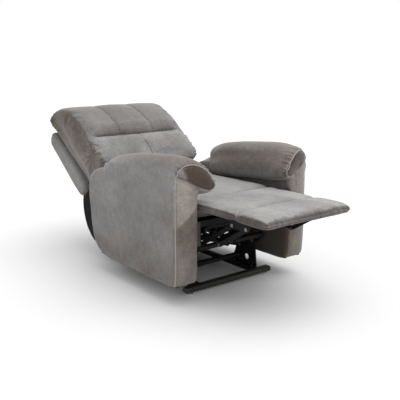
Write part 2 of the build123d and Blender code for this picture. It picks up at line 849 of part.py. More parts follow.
for tag, p, e, q in (("front", FA_P, FA_E, FA_Q), ("rear", FB_P, FB_E, FB_Q)):
    with BuildPart() as lower_link:
        with BuildSketch(side(X_FL1)):
            with Locations(p, e):
                Circle(10)
            make_hull()
            with Locations(p):
                Circle(5 + RUN, mode=Mode.SUBTRACT)
            with Locations(e):
                Circle(4, mode=Mode.SUBTRACT)
        extrude(amount=T_FL)
        mirror(about=Plane.YZ)
    save(lower_link, "footrest_" + tag + "_crank_links")

    with BuildPart() as link_rivet:
        with BuildSketch(side(X_FL1)):
            with Locations(e):
                Circle(4)
        extrude(amount=X_FL2 + T_FL + 0.4 - X_FL1)
        with BuildSketch(side(X_FL1 - 2)):
            with Locations(e):
                Circle(7)
        extrude(amount=2)
        with BuildSketch(side(X_FL1 + T_FL)):
            with Locations(e):
                Circle(7)
        extrude(amount=X_FL2 - X_FL1 - T_FL - 0.4)
        with BuildSketch(side(X_FL2 + T_FL + 0.4)):
            with Locations(e):
                Circle(7)
        extrude(amount=1.8)
        mirror(about=Plane.YZ)
    save(link_rivet, "footrest_" + tag + "_rivets")

    with BuildPart() as upper_link:
        with BuildSketch(side(X_FL2)):
            with Locations(e, q):
                Circle(10)
            make_hull()
            with Locations(e):
                Circle(4 + RUN, mode=Mode.SUBTRACT)
            with Locations(q):
                Circle(5 + OPEN_FOOT, mode=Mode.SUBTRACT)
        extrude(amount=T_FL)
        mirror(about=Plane.YZ)
    save(upper_link, "footrest_" + tag + "_push_links")
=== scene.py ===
import bpy
import json
import math
import numpy as np
from mathutils import Vector, Matrix


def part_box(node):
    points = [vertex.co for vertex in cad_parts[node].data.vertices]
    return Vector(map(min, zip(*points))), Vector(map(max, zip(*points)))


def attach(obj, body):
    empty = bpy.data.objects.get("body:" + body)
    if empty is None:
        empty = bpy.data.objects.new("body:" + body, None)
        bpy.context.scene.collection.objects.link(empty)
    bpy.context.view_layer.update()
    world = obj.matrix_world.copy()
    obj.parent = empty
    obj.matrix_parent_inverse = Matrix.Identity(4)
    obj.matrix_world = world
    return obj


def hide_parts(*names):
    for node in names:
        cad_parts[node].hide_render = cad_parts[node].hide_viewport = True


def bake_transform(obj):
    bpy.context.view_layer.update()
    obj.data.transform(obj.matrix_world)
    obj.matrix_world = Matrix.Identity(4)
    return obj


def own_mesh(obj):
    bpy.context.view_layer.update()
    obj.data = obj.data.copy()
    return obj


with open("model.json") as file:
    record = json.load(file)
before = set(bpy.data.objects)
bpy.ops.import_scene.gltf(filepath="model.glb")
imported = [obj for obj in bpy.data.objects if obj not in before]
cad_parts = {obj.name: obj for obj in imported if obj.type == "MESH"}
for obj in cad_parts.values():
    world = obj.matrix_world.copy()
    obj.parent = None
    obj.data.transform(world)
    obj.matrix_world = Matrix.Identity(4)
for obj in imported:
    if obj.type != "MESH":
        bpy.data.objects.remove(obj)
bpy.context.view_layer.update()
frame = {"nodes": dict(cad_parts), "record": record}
SCENE = bpy.context.scene
Y0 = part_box("arm_cover_left")[0].y - 0.006      # front of the arms in the row frame
HALF_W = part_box("arm_cover_left")[1].x

# ------------------------------------------------------------------ camera
cam_data = bpy.data.cameras.new("cam")
cam_data.sensor_width = 36.0
cam_data.lens = 58.77
cam = bpy.data.objects.new("cam", cam_data)
SCENE.collection.objects.link(cam)
cam.location = (-2.072, -2.265 + Y0, 1.16)
cam.rotation_euler = (math.radians(77.058), 0.0, math.radians(-38.266))
cam_data.clip_end = 200
SCENE.camera = cam


# ------------------------------------------------------------------ helpers
def smooth(a, b, x):
    t = np.clip((np.asarray(x, float) - a) / (b - a), 0, 1)
    return t * t * (3 - 2 * t)


def new_obj(name, verts, faces, shade=True):
    me = bpy.data.meshes.new(name)
    me.from_pydata([tuple(map(float, v)) for v in verts], [], [tuple(f) for f in faces])
    me.validate()
    me.update()
    ob = bpy.data.objects.new(name, me)
    SCENE.collection.objects.link(ob)
    if shade:
        me.polygons.foreach_set("use_smooth", [True] * len(me.polygons))
    return ob


def resample(pts, n, closed=True, rounds=2):
    """n points evenly along a polyline, after corner cutting."""
    p = np.asarray(pts, float)
    for _ in range(rounds):
        q = np.roll(p, -1, 0) if closed else p[1:]
        b = p if closed else p[:-1]
        cut = np.empty((2 * len(b), p.shape[1]))
        cut[0::2] = b * 0.75 + q * 0.25
        cut[1::2] = b * 0.25 + q * 0.75
        if not closed:
            cut = np.vstack([p[:1], cut, p[-1:]])
        p = cut
    if closed:
        p = np.vstack([p, p[:1]])
    s = np.concatenate([[0], np.cumsum(np.linalg.norm(np.diff(p, axis=0), axis=1))])
    t = np.linspace(0, s[-1], n + 1)[:-1] if closed else np.linspace(0, s[-1], n)
    return np.stack([np.interp(t, s, p[:, i]) for i in range(p.shape[1])], 1)


def loft(name, secs, closed=True, cap=True):
    secs = np.asarray(secs, float)
    m, n = secs.shape[:2]
    verts = secs.reshape(-1, 3)
    faces = []
    for i in range(m - 1):
        for j in range(n if closed else n - 1):
            k = (j + 1) % n
            faces.append((i * n + j, i * n + k, (i + 1) * n + k, (i + 1) * n + j))
    if cap and closed:
        faces.append(tuple(range(n - 1, -1, -1)))
        faces.append(tuple((m - 1) * n + j for j in range(n)))
    return new_obj(name, verts, faces)


def slab(name, prof, half, r, n=160, nx=17, to3=None, x0=None, x1=None):
    """Side profile carried along X, its edge rounded with radius r towards both ends."""
    p = resample(prof, n)
    area = 0.5 * np.sum(p[:, 0] * np.roll(p[:, 1], -1) - np.roll(p[:, 0], -1) * p[:, 1])
    t = np.roll(p, -1, 0) - np.roll(p, 1, 0)
    t /= np.linalg.norm(t, axis=1)[:, None] + 1e-12
    nrm = np.stack([t[:, 1], -t[:, 0]], 1) * (1 if area > 0 else -1)
    a, b = (-half, half) if x0 is None else (x0, x1)
    mid, hw = (a + b) / 2, (b - a) / 2
    ang = np.linspace(-math.pi / 2, 0, 7)
    near = [(-hw + r * (1 + math.sin(w)), r * (1 - math.cos(w))) for w in ang]
    # distance in from the end and how far the outline draws in there
    st = [(-hw + r * (1 - math.cos(w)), r * (1 - math.sin(w))) for w in np.linspace(0, math.pi / 2, 7)]
    xs = st + [(x, 0.0) for x in np.linspace(-hw + r, hw - r, nx)[1:-1]] + [(-x, d) for x, d in st[::-1]]
    secs = []
    for x, d in xs:
        q = p - nrm * d
        secs.append([to3(x + mid, u, v) for u, v in q])
    return loft(name, secs)


def apply_mods(ob):
    dg = bpy.context.evaluated_depsgraph_get()
    me = bpy.data.meshes.new_from_object(ob.evaluated_get(dg))
    old = ob.data
    ob.modifiers.clear()
    ob.data = me
    bpy.data.meshes.remove(old)
    me.polygons.foreach_set("use_smooth", [True] * len(me.polygons))
    return ob


def remesh(ob, size):
    m = ob.modifiers.new("r", "REMESH")
    m.mode = "VOXEL"
    m.voxel_size = size
    m.use_smooth_shade = True
    return apply_mods(ob)


def subdivide(ob, levels=1):
    m = ob.modifiers.new("s", "SUBSURF")
    m.levels = levels
    m.render_levels = levels
    return apply_mods(ob)


def relax(ob, factor=0.5, times=4):
    m = ob.modifiers.new("sm", "SMOOTH")
    m.factor = factor
    m.iterations = times
    return apply_mods(ob)


def join(name, obs):
    bpy.ops.object.select_all(action="DESELECT")
    for o in obs:
        o.select_set(True)
    bpy.context.view_layer.objects.active = obs[0]
    bpy.ops.object.join()
    obs[0].name = name
    return obs[0]


def coords(ob):
    c = np.empty(len(ob.data.vertices) * 3, np.float32)
    ob.data.vertices.foreach_get("co", c)
    return c.reshape(-1, 3).astype(float)


def set_coords(ob, c):
    ob.data.vertices.foreach_set("co", np.asarray(c, np.float32).ravel())
    ob.data.update()


def normals(ob):
    n = np.empty(len(ob.data.vertices) * 3, np.float32)
    ob.data.vertices.foreach_get("normal", n)
    return n.reshape(-1, 3).astype(float)


def seg_dist(c, path, closed=False):
    """Distance from points to a polyline, and how far along it the nearest point is."""
    path = np.asarray(path, float)
    if closed:
        path = np.vstack([path, path[:1]])
    best = np.full(len(c), 1e9)
    along = np.zeros(len(c))
    s = 0.0
    for a, b in zip(path[:-1], path[1:]):
        d = b - a
        L = np.linalg.norm(d)
        if L < 1e-9:
            continue
        t = np.clip(((c - a) @ d) / L ** 2, 0, 1)
        dist = np.linalg.norm(c - (a + t[:, None] * d), axis=1)
        hit = dist < best
        best[hit] = dist[hit]
        along[hit] = s + t[hit] * L
        s += L
    return best, along, s


def carve(ob, path, depth, width, closed=False, fade=0.0, ripple=0.0, pitch=0.03, mask=None):
    """Pulls the skin in along a seam, deepest on it; fade lets it die out at both ends."""
    c, n = coords(ob), normals(ob)
    d, s, total = seg_dist(c, path, closed)
    f = np.exp(-(d / width) ** 2)
    if fade > 0:
        f *= smooth(0, fade, s) * smooth(0, fade, total - s)
    amp = depth * f
    if ripple:
        g = np.exp(-(d / (width * 2.2)) ** 2) * (1 - np.exp(-(d / (width * 0.6)) ** 2))
        if fade > 0:
            g *= smooth(0, fade, s) * smooth(0, fade, total - s)
        ph = s / pitch * 2 * math.pi
        amp = amp + ripple * g * (0.6 * np.sin(ph + 1.3 * np.sin(ph * 0.37)) + 0.4 * np.sin(ph * 1.71 + 1.0))
    if mask is not None:
        amp = amp * mask(c, n)
    set_coords(ob, c - n * amp[:, None])


def tube(name, path, r, closed=False, sides=8, squash=1.0):
    path = np.asarray(path, float)
    m = len(path)
    secs = []
    up = None
    for i in range(m):
        a = path[(i - 1) % m] if closed or i > 0 else path[i]
        b = path[(i + 1) % m] if closed or i < m - 1 else path[i]
        t = b - a
        t = t / (np.linalg.norm(t) + 1e-12)
        if up is None:
            up = np.array([0, 0, 1.0]) if abs(t[2]) < 0.9 else np.array([1.0, 0, 0])
        e = up - t * (up @ t)
        e /= np.linalg.norm(e) + 1e-12
        up = e
        g = np.cross(t, e)
        w = np.linspace(0, 2 * math.pi, sides, endpoint=False)
        secs.append([path[i] + r * (math.cos(x) * e + math.sin(x) * g * squash) for x in w])
    if closed:
        secs.append(secs[0])
        return loft(name, secs, cap=False)
    return loft(name, secs)


def snap(ob, path, lift=0.0, iters=1):
    """Moves a path onto a mesh's surface."""
    from mathutils.bvhtree import BVHTree
    me = ob.data
    tree = BVHTree.FromPolygons([v.co for v in me.vertices], [p.vertices for p in me.polygons])
    out = []
    for p in path:
        loc, nor, _, _ = tree.find_nearest(Vector(p))
        out.append(np.array(loc) + np.array(nor) * lift)
    return np.array(out)


def spline(pts, n):
    """Smooth path through points."""
    p = np.asarray(pts, float)
    ext = np.vstack([2 * p[0] - p[1], p, 2 * p[-1] - p[-2]])
    out = []
    for i in range(1, len(ext) - 2):
        a, b, c, d = ext[i - 1:i + 3]
        for t in np.linspace(0, 1, 12, endpoint=False):
            out.append(0.5 * ((2 * b) + (c - a) * t + (2 * a - 5 * b + 4 * c - d) * t ** 2 + (3 * b - a - 3 * c + d) * t ** 3))
    out.append(ext[-2])
    return resample(out, n, closed=False, rounds=0)


def noise3(c, scale, seed=0, octaves=3):
    """Smooth value noise of points, repeatable, from -1 to 1."""
    rng = np.random.default_rng(seed)
    total = np.zeros(len(c))
    amp = 1.0
    norm = 0.0
    for o in range(octaves):
        g = rng.uniform(-1, 1, (24, 24, 24))
        q = np.asarray(c) / scale * (2 ** o) + 7.3 * (o + 1) + seed * 0.77
        i = np.floor(q).astype(int)
        f = q - i
        f = f * f * (3 - 2 * f)
        v = np.zeros(len(c))
        for dx in (0, 1):
            for dy in (0, 1):
                for dz in (0, 1):
                    w = (f[:, 0] if dx else 1 - f[:, 0]) * (f[:, 1] if dy else 1 - f[:, 1]) * (f[:, 2] if dz else 1 - f[:, 2])
                    v += w * g[(i[:, 0] + dx) % 24, (i[:, 1] + dy) % 24, (i[:, 2] + dz) % 24]
        total += amp * v
        norm += amp
        amp *= 0.5
    return total / norm


def bump(ob, scale, depth, seed=0, octaves=3, mask=None):
    c, n = coords(ob), normals(ob)
    a = noise3(c, scale, seed, octaves) * depth
    if mask is not None:
        a = a * mask(c, n)
    set_coords(ob, c + n * a[:, None])


def paint(ob, nap_and_shade, warm=None):
    """Second argument: one number per vertex, -1 for pale, 1 for dark, holding the brushed nap and painted shade
    (sides, undersides and hidden faces dark, lit tops pale); warm: 0 for grey, 1 for browner.
    """
    if warm is not None:
        wt = ob.data.attributes.get("warm") or ob.data.attributes.new("warm", "FLOAT", "POINT")
        wt.data.foreach_set("value", np.asarray(np.clip(warm, 0, 1), np.float32))
    at = ob.data.attributes.get("nap_and_shade") or ob.data.attributes.new("nap_and_shade", "FLOAT", "POINT")
    at.data.foreach_set("value", np.asarray(np.clip(nap_and_shade, -1, 1), np.float32))


def shoot(ob, pts, way):
    """Where straight lines from points first meet a mesh; a miss keeps the nearest point."""
    from mathutils.bvhtree import BVHTree
    me = ob.data
    tree = BVHTree.FromPolygons([v.co for v in me.vertices], [p.vertices for p in me.polygons])
    out = []
    for p in pts:
        loc = tree.ray_cast(Vector(p), Vector(way))[0]
        if loc is None:
            loc = tree.find_nearest(Vector(p))[0]
        out.append(np.array(loc))
    return np.array(out)


def even(path, times=2):
    path = np.array(path, float)
    for _ in range(times):
        path[1:-1] = (path[:-2] + 2 * path[1:-1] + path[2:]) / 4
    return path


def inside(poly, px, pz):
    """Signed distance into a closed outline, positive inside."""
    poly = np.asarray(poly, float)
    hit = np.zeros(len(px), bool)
    q = np.roll(poly, -1, 0)
    for (x1, y1), (x2, y2) in zip(poly, q):
        c = (y1 > pz) != (y2 > pz)
        if y1 != y2:
            hit ^= c & (px < (x2 - x1) * (pz - y1) / (y2 - y1) + x1)
    d, _, _ = seg_dist(np.stack([px, pz], 1), poly, closed=True)
    return np.where(hit, d, -d)


SIMS = []


def puff(ob, cap, pressure=4.0, tension=15.0, bend=0.5, pin=None):
    """Queues a padded piece for the cloth run."""
    SIMS.append((ob, cap, pressure, tension, bend, pin))


def run_sims(frames=20):
    if not SIMS:
        return
    rest = {}
    for ob, cap, pressure, tension, bend, pin in SIMS:
        rest[ob.name] = coords(ob)
        m = ob.modifiers.new("cloth", "CLOTH")
        st = m.settings
        st.quality = 5
        st.mass = 0.3
        st.tension_stiffness = tension
        st.compression_stiffness = tension
        st.shear_stiffness = 5
        st.bending_stiffness = bend
        st.use_pressure = True
        st.uniform_pressure_force = pressure
        st.effector_weights.gravity = 0
        m.collision_settings.use_collision = False
        m.collision_settings.use_self_collision = False
        m.point_cache.frame_start = 1
        m.point_cache.frame_end = frames
        if pin is not None:
            vg = ob.vertex_groups.new(name="pin")
            w = pin(rest[ob.name])
            for val in (0.25, 0.5, 0.75, 1.0):
                idx = [int(i) for i in np.where(np.abs(w - val) <= 0.125)[0]]
                if idx:
                    vg.add(idx, val, "REPLACE")
            st.vertex_group_mass = "pin"
            st.pin_stiffness = 1.0
    for f in range(1, frames + 1):
        SCENE.frame_set(f)
    dg = bpy.context.evaluated_depsgraph_get()
    res = {}
    for ob, cap, *_ in SIMS:
        me = ob.evaluated_get(dg).to_mesh()
        c = np.empty(len(me.vertices) * 3, np.float32)
        me.vertices.foreach_get("co", c)
        res[ob.name] = c.reshape(-1, 3).astype(float)
        ob.evaluated_get(dg).to_mesh_clear()
    for ob, cap, *_ in SIMS:
        c = res[ob.name]
        if not np.isfinite(c).all():
            print("SIM not finite", ob.name)
            c = rest[ob.name]
        d = c - rest[ob.name]
        L = np.linalg.norm(d, axis=1)
        k = np.where(L > 1e-9, cap * np.tanh(L / cap) / np.maximum(L, 1e-9), 1)
        ob.modifiers.clear()
        ob.vertex_groups.clear()
        set_coords(ob, rest[ob.name] + d * k[:, None])
        print("SIM", ob.name, "mean", round(float(L.mean()), 4), "max", round(float(L.max()), 4))
    SCENE.frame_set(1)
    SIMS.clear()


# ---------------------------------------------------------------- materials
def nodes_of(name):
    m = bpy.data.materials.new(name)
    m.use_nodes = True
    nt = m.node_tree
    b = nt.nodes["Principled BSDF"]
    return m, nt, b


def node(nt, kind, **kw):
    n = nt.nodes.new(kind)
    for k, v in kw.items():
        if k in n.inputs:
            n.inputs[k].default_value = v
        else:
            setattr(n, k, v)
    return n


# ramp of the velvet from its lit pale to its shaded dark; the dark end carries painted shade
PALE, MID, DARK = (0.41, 0.405, 0.397), (0.205, 0.203, 0.199), (0.066, 0.054, 0.047)


def velvet(name, light=PALE, mid_col=MID, dark=DARK, use_tone=True, mottling=0.34, base=0.0):
    """Short-pile upholstery velvet: brushed nap in soft patches, fine weave, soft sheen; a per-vertex attribute with
    painted shade moves it from pale to dark.
    """
    m, nt, b = nodes_of(name)
    L = nt.links
    tc = node(nt, "ShaderNodeTexCoord")
    big = node(nt, "ShaderNodeTexNoise", Scale=5.0, Detail=4.0, Roughness=0.55, Distortion=0.6)
    mid = node(nt, "ShaderNodeTexNoise", Scale=34.0, Detail=6.0, Roughness=0.72, Distortion=0.4)
    fine = node(nt, "ShaderNodeTexNoise", Scale=150.0, Detail=4.0, Roughness=0.7)
    weave = node(nt, "ShaderNodeTexVoronoi", Scale=620.0)
    mp = node(nt, "ShaderNodeMapping")
    mp.inputs["Scale"].default_value = (1.0, 0.45, 0.7)
    L.new(tc.outputs["Object"], mp.inputs["Vector"])
    L.new(mp.outputs["Vector"], big.inputs["Vector"])
    for t in (mid, fine, weave):
        L.new(tc.outputs["Object"], t.inputs["Vector"])
    add = node(nt, "ShaderNodeMath", operation="MULTIPLY_ADD")
    L.new(big.outputs["Fac"], add.inputs[0])
    add.inputs[1].default_value = 0.62
    mul = node(nt, "ShaderNodeMath", operation="MULTIPLY")
    L.new(mid.outputs["Fac"], mul.inputs[0])
    mul.inputs[1].default_value = 0.38
    L.new(mul.outputs[0], add.inputs[2])
    rng = node(nt, "ShaderNodeMapRange")
    rng.inputs["From Min"].default_value = 0.36
    rng.inputs["From Max"].default_value = 0.64
    rng.inputs["To Min"].default_value = -mottling
    rng.inputs["To Max"].default_value = mottling
    L.new(add.outputs[0], rng.inputs["Value"])
    fac = node(nt, "ShaderNodeMath", operation="ADD")
    L.new(rng.outputs["Result"], fac.inputs[0])
    # painted shade: the per-vertex attribute, set from each face's direction and place, darkens the cloth along the
    # ramp
    if use_tone:
        at = node(nt, "ShaderNodeAttribute", attribute_name="nap_and_shade")
        L.new(at.outputs["Fac"], fac.inputs[1])
    else:
        fac.inputs[1].default_value = base
    half = node(nt, "ShaderNodeMath", operation="MULTIPLY_ADD")
    half.use_clamp = True
    L.new(fac.outputs[0], half.inputs[0])
    half.inputs[1].default_value = 0.5
    half.inputs[2].default_value = 0.5
    ramp = node(nt, "ShaderNodeValToRGB")
    e = ramp.color_ramp.elements
    e[0].position, e[0].color = 0.0, (*light, 1)
    e[1].position, e[1].color = 1.0, (*dark, 1)
    k = e.new(0.5)
    k.color = (*mid_col, 1)
    L.new(half.outputs[0], ramp.inputs["Fac"])
    # the pile turns warmer where it is brushed against its lay
    wn = node(nt, "ShaderNodeTexNoise", Scale=13.0, Detail=5.0, Roughness=0.7, Distortion=0.8)
    L.new(mp.outputs["Vector"], wn.inputs["Vector"])
    wr = node(nt, "ShaderNodeMapRange")
    wr.inputs["From Min"].default_value = 0.46
    wr.inputs["From Max"].default_value = 0.68
    wr.inputs["To Max"].default_value = 0.24
    L.new(wn.outputs["Fac"], wr.inputs["Value"])
    wa = node(nt, "ShaderNodeMath", operation="ADD")
    wa.use_clamp = True
    L.new(wr.outputs["Result"], wa.inputs[0])
    wt = node(nt, "ShaderNodeAttribute", attribute_name="warm")
    L.new(wt.outputs["Fac"], wa.inputs[1])
    wm = node(nt, "ShaderNodeMix")
    wm.data_type = "RGBA"
    wm.blend_type = "MULTIPLY"
    L.new(wa.outputs[0], wm.inputs[0])
    L.new(ramp.outputs["Color"], wm.inputs[6])
    wm.inputs[7].default_value = (1.08, 0.975, 0.90, 1)
    hsv = node(nt, "ShaderNodeHueSaturation")
    L.new(wm.outputs[2], hsv.inputs["Color"])
    fr = node(nt, "ShaderNodeMapRange")
    fr.inputs["From Min"].default_value = 0.3
    fr.inputs["From Max"].default_value = 0.7
    fr.inputs["To Min"].default_value = 0.80
    fr.inputs["To Max"].default_value = 1.20
    L.new(fine.outputs["Fac"], fr.inputs["Value"])
    L.new(fr.outputs["Result"], hsv.inputs["Value"])
    L.new(hsv.outputs["Color"], b.inputs["Base Color"])
    b.inputs["Roughness"].default_value = 0.92
    b.inputs["Specular IOR Level"].default_value = 0.18
    b.inputs["Sheen Weight"].default_value = 0.35
    b.inputs["Sheen Roughness"].default_value = 0.45
    b.inputs["Sheen Tint"].default_value = (0.86, 0.84, 0.82, 1)
    b1 = node(nt, "ShaderNodeBump", Strength=0.35, Distance=0.0006)
    L.new(weave.outputs["Distance"], b1.inputs["Height"])
    b2 = node(nt, "ShaderNodeBump", Strength=0.5, Distance=0.0035)
    L.new(mid.outputs["Fac"], b2.inputs["Height"])
    L.new(b1.outputs["Normal"], b2.inputs["Normal"])
    L.new(b2.outputs["Normal"], b.inputs["Normal"])
    return m


def cambric(name, col=(0.012, 0.012, 0.013)):
    """Black non-woven backing cloth with a dimpled face."""
    m, nt, b = nodes_of(name)
    L = nt.links
    tc = node(nt, "ShaderNodeTexCoord")
    v = node(nt, "ShaderNodeTexVoronoi", Scale=260.0)
    n = node(nt, "ShaderNodeTexNoise", Scale=9.0, Detail=4.0)
    L.new(tc.outputs["Object"], v.inputs["Vector"])
    L.new(tc.outputs["Object"], n.inputs["Vector"])
    cr = node(nt, "ShaderNodeValToRGB")
    cr.color_ramp.elements[0].color = (*[c * 0.6 for c in col], 1)
    cr.color_ramp.elements[1].color = (*[c * 1.7 for c in col], 1)
    L.new(n.outputs["Fac"], cr.inputs["Fac"])
    L.new(cr.outputs["Color"], b.inputs["Base Color"])
    b.inputs["Roughness"].default_value = 0.85
    b.inputs["Specular IOR Level"].default_value = 0.10
    bp = node(nt, "ShaderNodeBump", Strength=0.5, Distance=0.0008)
    L.new(v.outputs["Distance"], bp.inputs["Height"])
    L.new(bp.outputs["Normal"], b.inputs["Normal"])
    return m


def hard(name, col, metallic, rough, scale=180.0, depth=0.0003, wear=0.15, spec=0.5, streak=(1, 1, 1)):
    """Painted, plated or moulded parts: a fine grain in colour, roughness and relief."""
    m, nt, b = nodes_of(name)
    L = nt.links
    tc = node(nt, "ShaderNodeTexCoord")
    mp = node(nt, "ShaderNodeMapping")
    mp.inputs["Scale"].default_value = streak
    L.new(tc.outputs["Object"], mp.inputs["Vector"])
    fine = node(nt, "ShaderNodeTexNoise", Scale=scale, Detail=3.0)
    big = node(nt, "ShaderNodeTexNoise", Scale=14.0, Detail=5.0, Roughness=0.6)
    L.new(mp.outputs["Vector"], fine.inputs["Vector"])
    L.new(tc.outputs["Object"], big.inputs["Vector"])
    cr = node(nt, "ShaderNodeValToRGB")
    cr.color_ramp.elements[0].position = 0.3
    cr.color_ramp.elements[1].position = 0.75
    cr.color_ramp.elements[0].color = (*[c * (1 - wear) for c in col], 1)
    cr.color_ramp.elements[1].color = (*[min(1, c * (1 + wear) + 0.002) for c in col], 1)
    L.new(big.outputs["Fac"], cr.inputs["Fac"])
    L.new(cr.outputs["Color"], b.inputs["Base Color"])
    b.inputs["Metallic"].default_value = metallic
    rr = node(nt, "ShaderNodeMapRange")
    rr.inputs["To Min"].default_value = max(0.03, rough - 0.09)
    rr.inputs["To Max"].default_value = rough + 0.09
    L.new(big.outputs["Fac"], rr.inputs["Value"])
    L.new(rr.outputs["Result"], b.inputs["Roughness"])
    b.inputs["Specular IOR Level"].default_value = spec
    bp = node(nt, "ShaderNodeBump", Strength=0.4, Distance=depth)
    L.new(fine.outputs["Fac"], bp.inputs["Height"])
    L.new(bp.outputs["Normal"], b.inputs["Normal"])
    return m


def wood(name):
    m, nt, b = nodes_of(name)
    L = nt.links
    tc = node(nt, "ShaderNodeTexCoord")
    mp = node(nt, "ShaderNodeMapping")
    mp.inputs["Scale"].default_value = (30, 3, 30)
    L.new(tc.outputs["Object"], mp.inputs["Vector"])
    n = node(nt, "ShaderNodeTexNoise", Scale=2.0, Detail=6.0, Roughness=0.6, Distortion=1.2)
    L.new(mp.outputs["Vector"], n.inputs["Vector"])
    cr = node(nt, "ShaderNodeValToRGB")
    cr.color_ramp.elements[0].position = 0.35
    cr.color_ramp.elements[1].position = 0.7
    cr.color_ramp.elements[0].color = (0.22, 0.125, 0.06, 1)
    cr.color_ramp.elements[1].color = (0.42, 0.28, 0.15, 1)
    L.new(n.outputs["Fac"], cr.inputs["Fac"])
    L.new(cr.outputs["Color"], b.inputs["Base Color"])
    b.inputs["Roughness"].default_value = 0.7
    bp = node(nt, "ShaderNodeBump", Strength=0.4, Distance=0.0006)
    L.new(n.outputs["Fac"], bp.inputs["Height"])
    L.new(bp.outputs["Normal"], b.inputs["Normal"])
    return m


M_VELVET = velvet("velvet")
# fixed-brightness copies of the one velvet: the arm piping keeps a pale lit tone, the back's rear piping a darker one
# (painted shade), the seam thread is near black, and the brown copy is a deep shaded tone for the side rails inside the
# chair (painted shade)
M_PIPE = velvet("velvet_piping", light=(0.36, 0.35, 0.335), mid_col=(0.30, 0.29, 0.277), dark=(0.23, 0.22, 0.208), use_tone=False, mottling=0.3)
M_PIPE_SHADED = velvet("velvet_piping_shaded", light=(0.24, 0.23, 0.22), mid_col=(0.19, 0.183, 0.175), dark=(0.14, 0.13, 0.122), use_tone=False, mottling=0.3)
M_PIPE_DARK = velvet("velvet_dark_seam_and_shadow_line", light=(0.10, 0.094, 0.088), mid_col=(0.07, 0.065, 0.06), dark=(0.05, 0.045, 0.041), use_tone=False, mottling=0.3)
M_VELVET_SHADED_BROWN = velvet("velvet_shaded_brown", light=(0.09, 0.075, 0.066), mid_col=(0.06, 0.049, 0.043), dark=(0.04, 0.033, 0.029), use_tone=False, mottling=0.4)
M_CAMBRIC = cambric("black_cambric")
M_STEEL = hard("black_powder_coat", (0.006, 0.006, 0.007), 0.0, 0.5, scale=420, depth=0.00025, wear=0.3, spec=0.14)
M_TUBE = hard("floor_tube_coat", (0.018, 0.017, 0.015), 0.0, 0.5, scale=420, depth=0.00025, wear=0.3, spec=0.3)
M_ZINC = hard("bright_zinc", (0.24, 0.24, 0.235), 1.0, 0.38, scale=90, depth=0.0001, wear=0.25)
M_ROD = hard("polished_rod", (0.78, 0.78, 0.78), 1.0, 0.14, scale=60, depth=0.00005, wear=0.05, streak=(1, 6, 1))
M_WIRE = hard("oiled_wire", (0.28, 0.27, 0.26), 1.0, 0.4, scale=120, depth=0.0001, wear=0.2)
M_PLAST = hard("black_moulding", (0.018, 0.018, 0.019), 0.0, 0.55, scale=700, depth=0.0003, wear=0.2)
M_WOOD = wood("plywood")
SLOT_MAT = {"upholstery": M_VELVET, "black_cloth": M_CAMBRIC, "timber": M_WOOD, "black_steel": M_STEEL,
            "spring_wire": M_WIRE, "zinc": M_ZINC, "rod_steel": M_ROD, "black_plastic": M_PLAST}
SLOT_OF = {s["node"]: s["material_slot"] for s in frame["record"]["subparts"]}
for n, o in frame["nodes"].items():
    mat = SLOT_MAT[SLOT_OF[n]]
    if n == "base_cross_tubes":
        mat = M_TUBE
    # painted shade: the inner frame rails, springs, arm frames and footrest board take the black cloth, and the seat
    # side rails the deep-shade velvet, so the shaded inside of the chair reads dark
    if n in ("footrest_board", "seat_cross_rails", "seat_springs", "back_side_rails", "back_cross_rails", "arm_frame_left", "arm_frame_right"):
        mat = M_CAMBRIC
    if n == "seat_side_rails":
        mat = M_VELVET_SHADED_BROWN
    if n == "levelling_glides":
        mat = M_ROD
    if not o.material_slots:
        o.data.materials.append(mat)
    for s in o.material_slots:
        s.material = mat


def dress(ob, mat, body):
    ob.data.materials.clear()
    ob.data.materials.append(mat)
    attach(ob, body)
    return ob


# ------------------------------------------------------------ back geometry
HY, HZ = 0.740, 0.300
TILT = math.radians(34.5)


def back3(x, u, v):
    c, s = math.cos(TILT), math.sin(TILT)
    return (x, HY + u * c - v * s + Y0, HZ + u * s + v * c)


def to_back(c):
    """(x, u, v) of row-frame points."""
    cs, sn = math.cos(TILT), math.sin(TILT)
    y, z = c[:, 1] - Y0 - HY, c[:, 2] - HZ
    return c[:, 0], y * cs + z * sn, -y * sn + z * cs


def from_back(x, u, v):
    cs, sn = math.cos(TILT), math.sin(TILT)
    return np.stack([x, HY + Y0 + u * cs - v * sn, HZ + u * sn + v * cs], 1)


def side3(x, y, z):
    return (x, y + Y0, z)


def V3(pts):
    p = np.asarray(pts, float).copy()
    p[:, 1] += Y0
    return p


BACK_W = 0.335
back_prof = [(.148, .182), (.158, .200), (.20, .206), (.267, .2065), (.33, .208), (.38, .206), (.43, .207), (.48, .209), (.54, .205),
             (.613, .189), (.662, .172), (.720, .139), (.766, .099), (.799, .054), (.818, .010), (.820, -.022), (.800, -.038),
             (.766, -.040), (.742, -.031), (.60, -.029), (.40, -.027), (.266, -.025), (.222, -.029), (.212, .02), (.198, .105), (.163, .154)]
back_cush = slab("back_cushion", back_prof, BACK_W, .026, n=170, nx=27, to3=back3)
remesh(back_cush, .0095)
c = coords(back_cush)
x, u, v = to_back(c)
low = np.clip((.235 - u) / .085, 0, 1)
w = BACK_W - .052 * (1 - np.sqrt(1 - low ** 2)) + .004 * smooth(.3, .5, u)
x = x * (w / BACK_W)
set_coords(back_cush, from_back(x, u, v))
relax(back_cush, .5, 2)
puff(back_cush, .009, pressure=4.0, tension=14, bend=1.0)

# --------------------------------------------------------------- arm pieces
ARM_PROF = [(.012, .130), (.016, .106), (.032, .091), (.131, .089), (.249, .090), (.441, .087), (.600, .089), (.664, .098), (.709, .116),
            (.744, .146), (.762, .19), (.776, .25), (.791, .361), (.798, .42), (.793, .463), (.772, .496), (.735, .520),
            (.679, .543), (.592, .564), (.536, .573), (.40, .580), (.25, .585), (.06, .590), (.016, .590), (.012, .56), (.012, .35)]


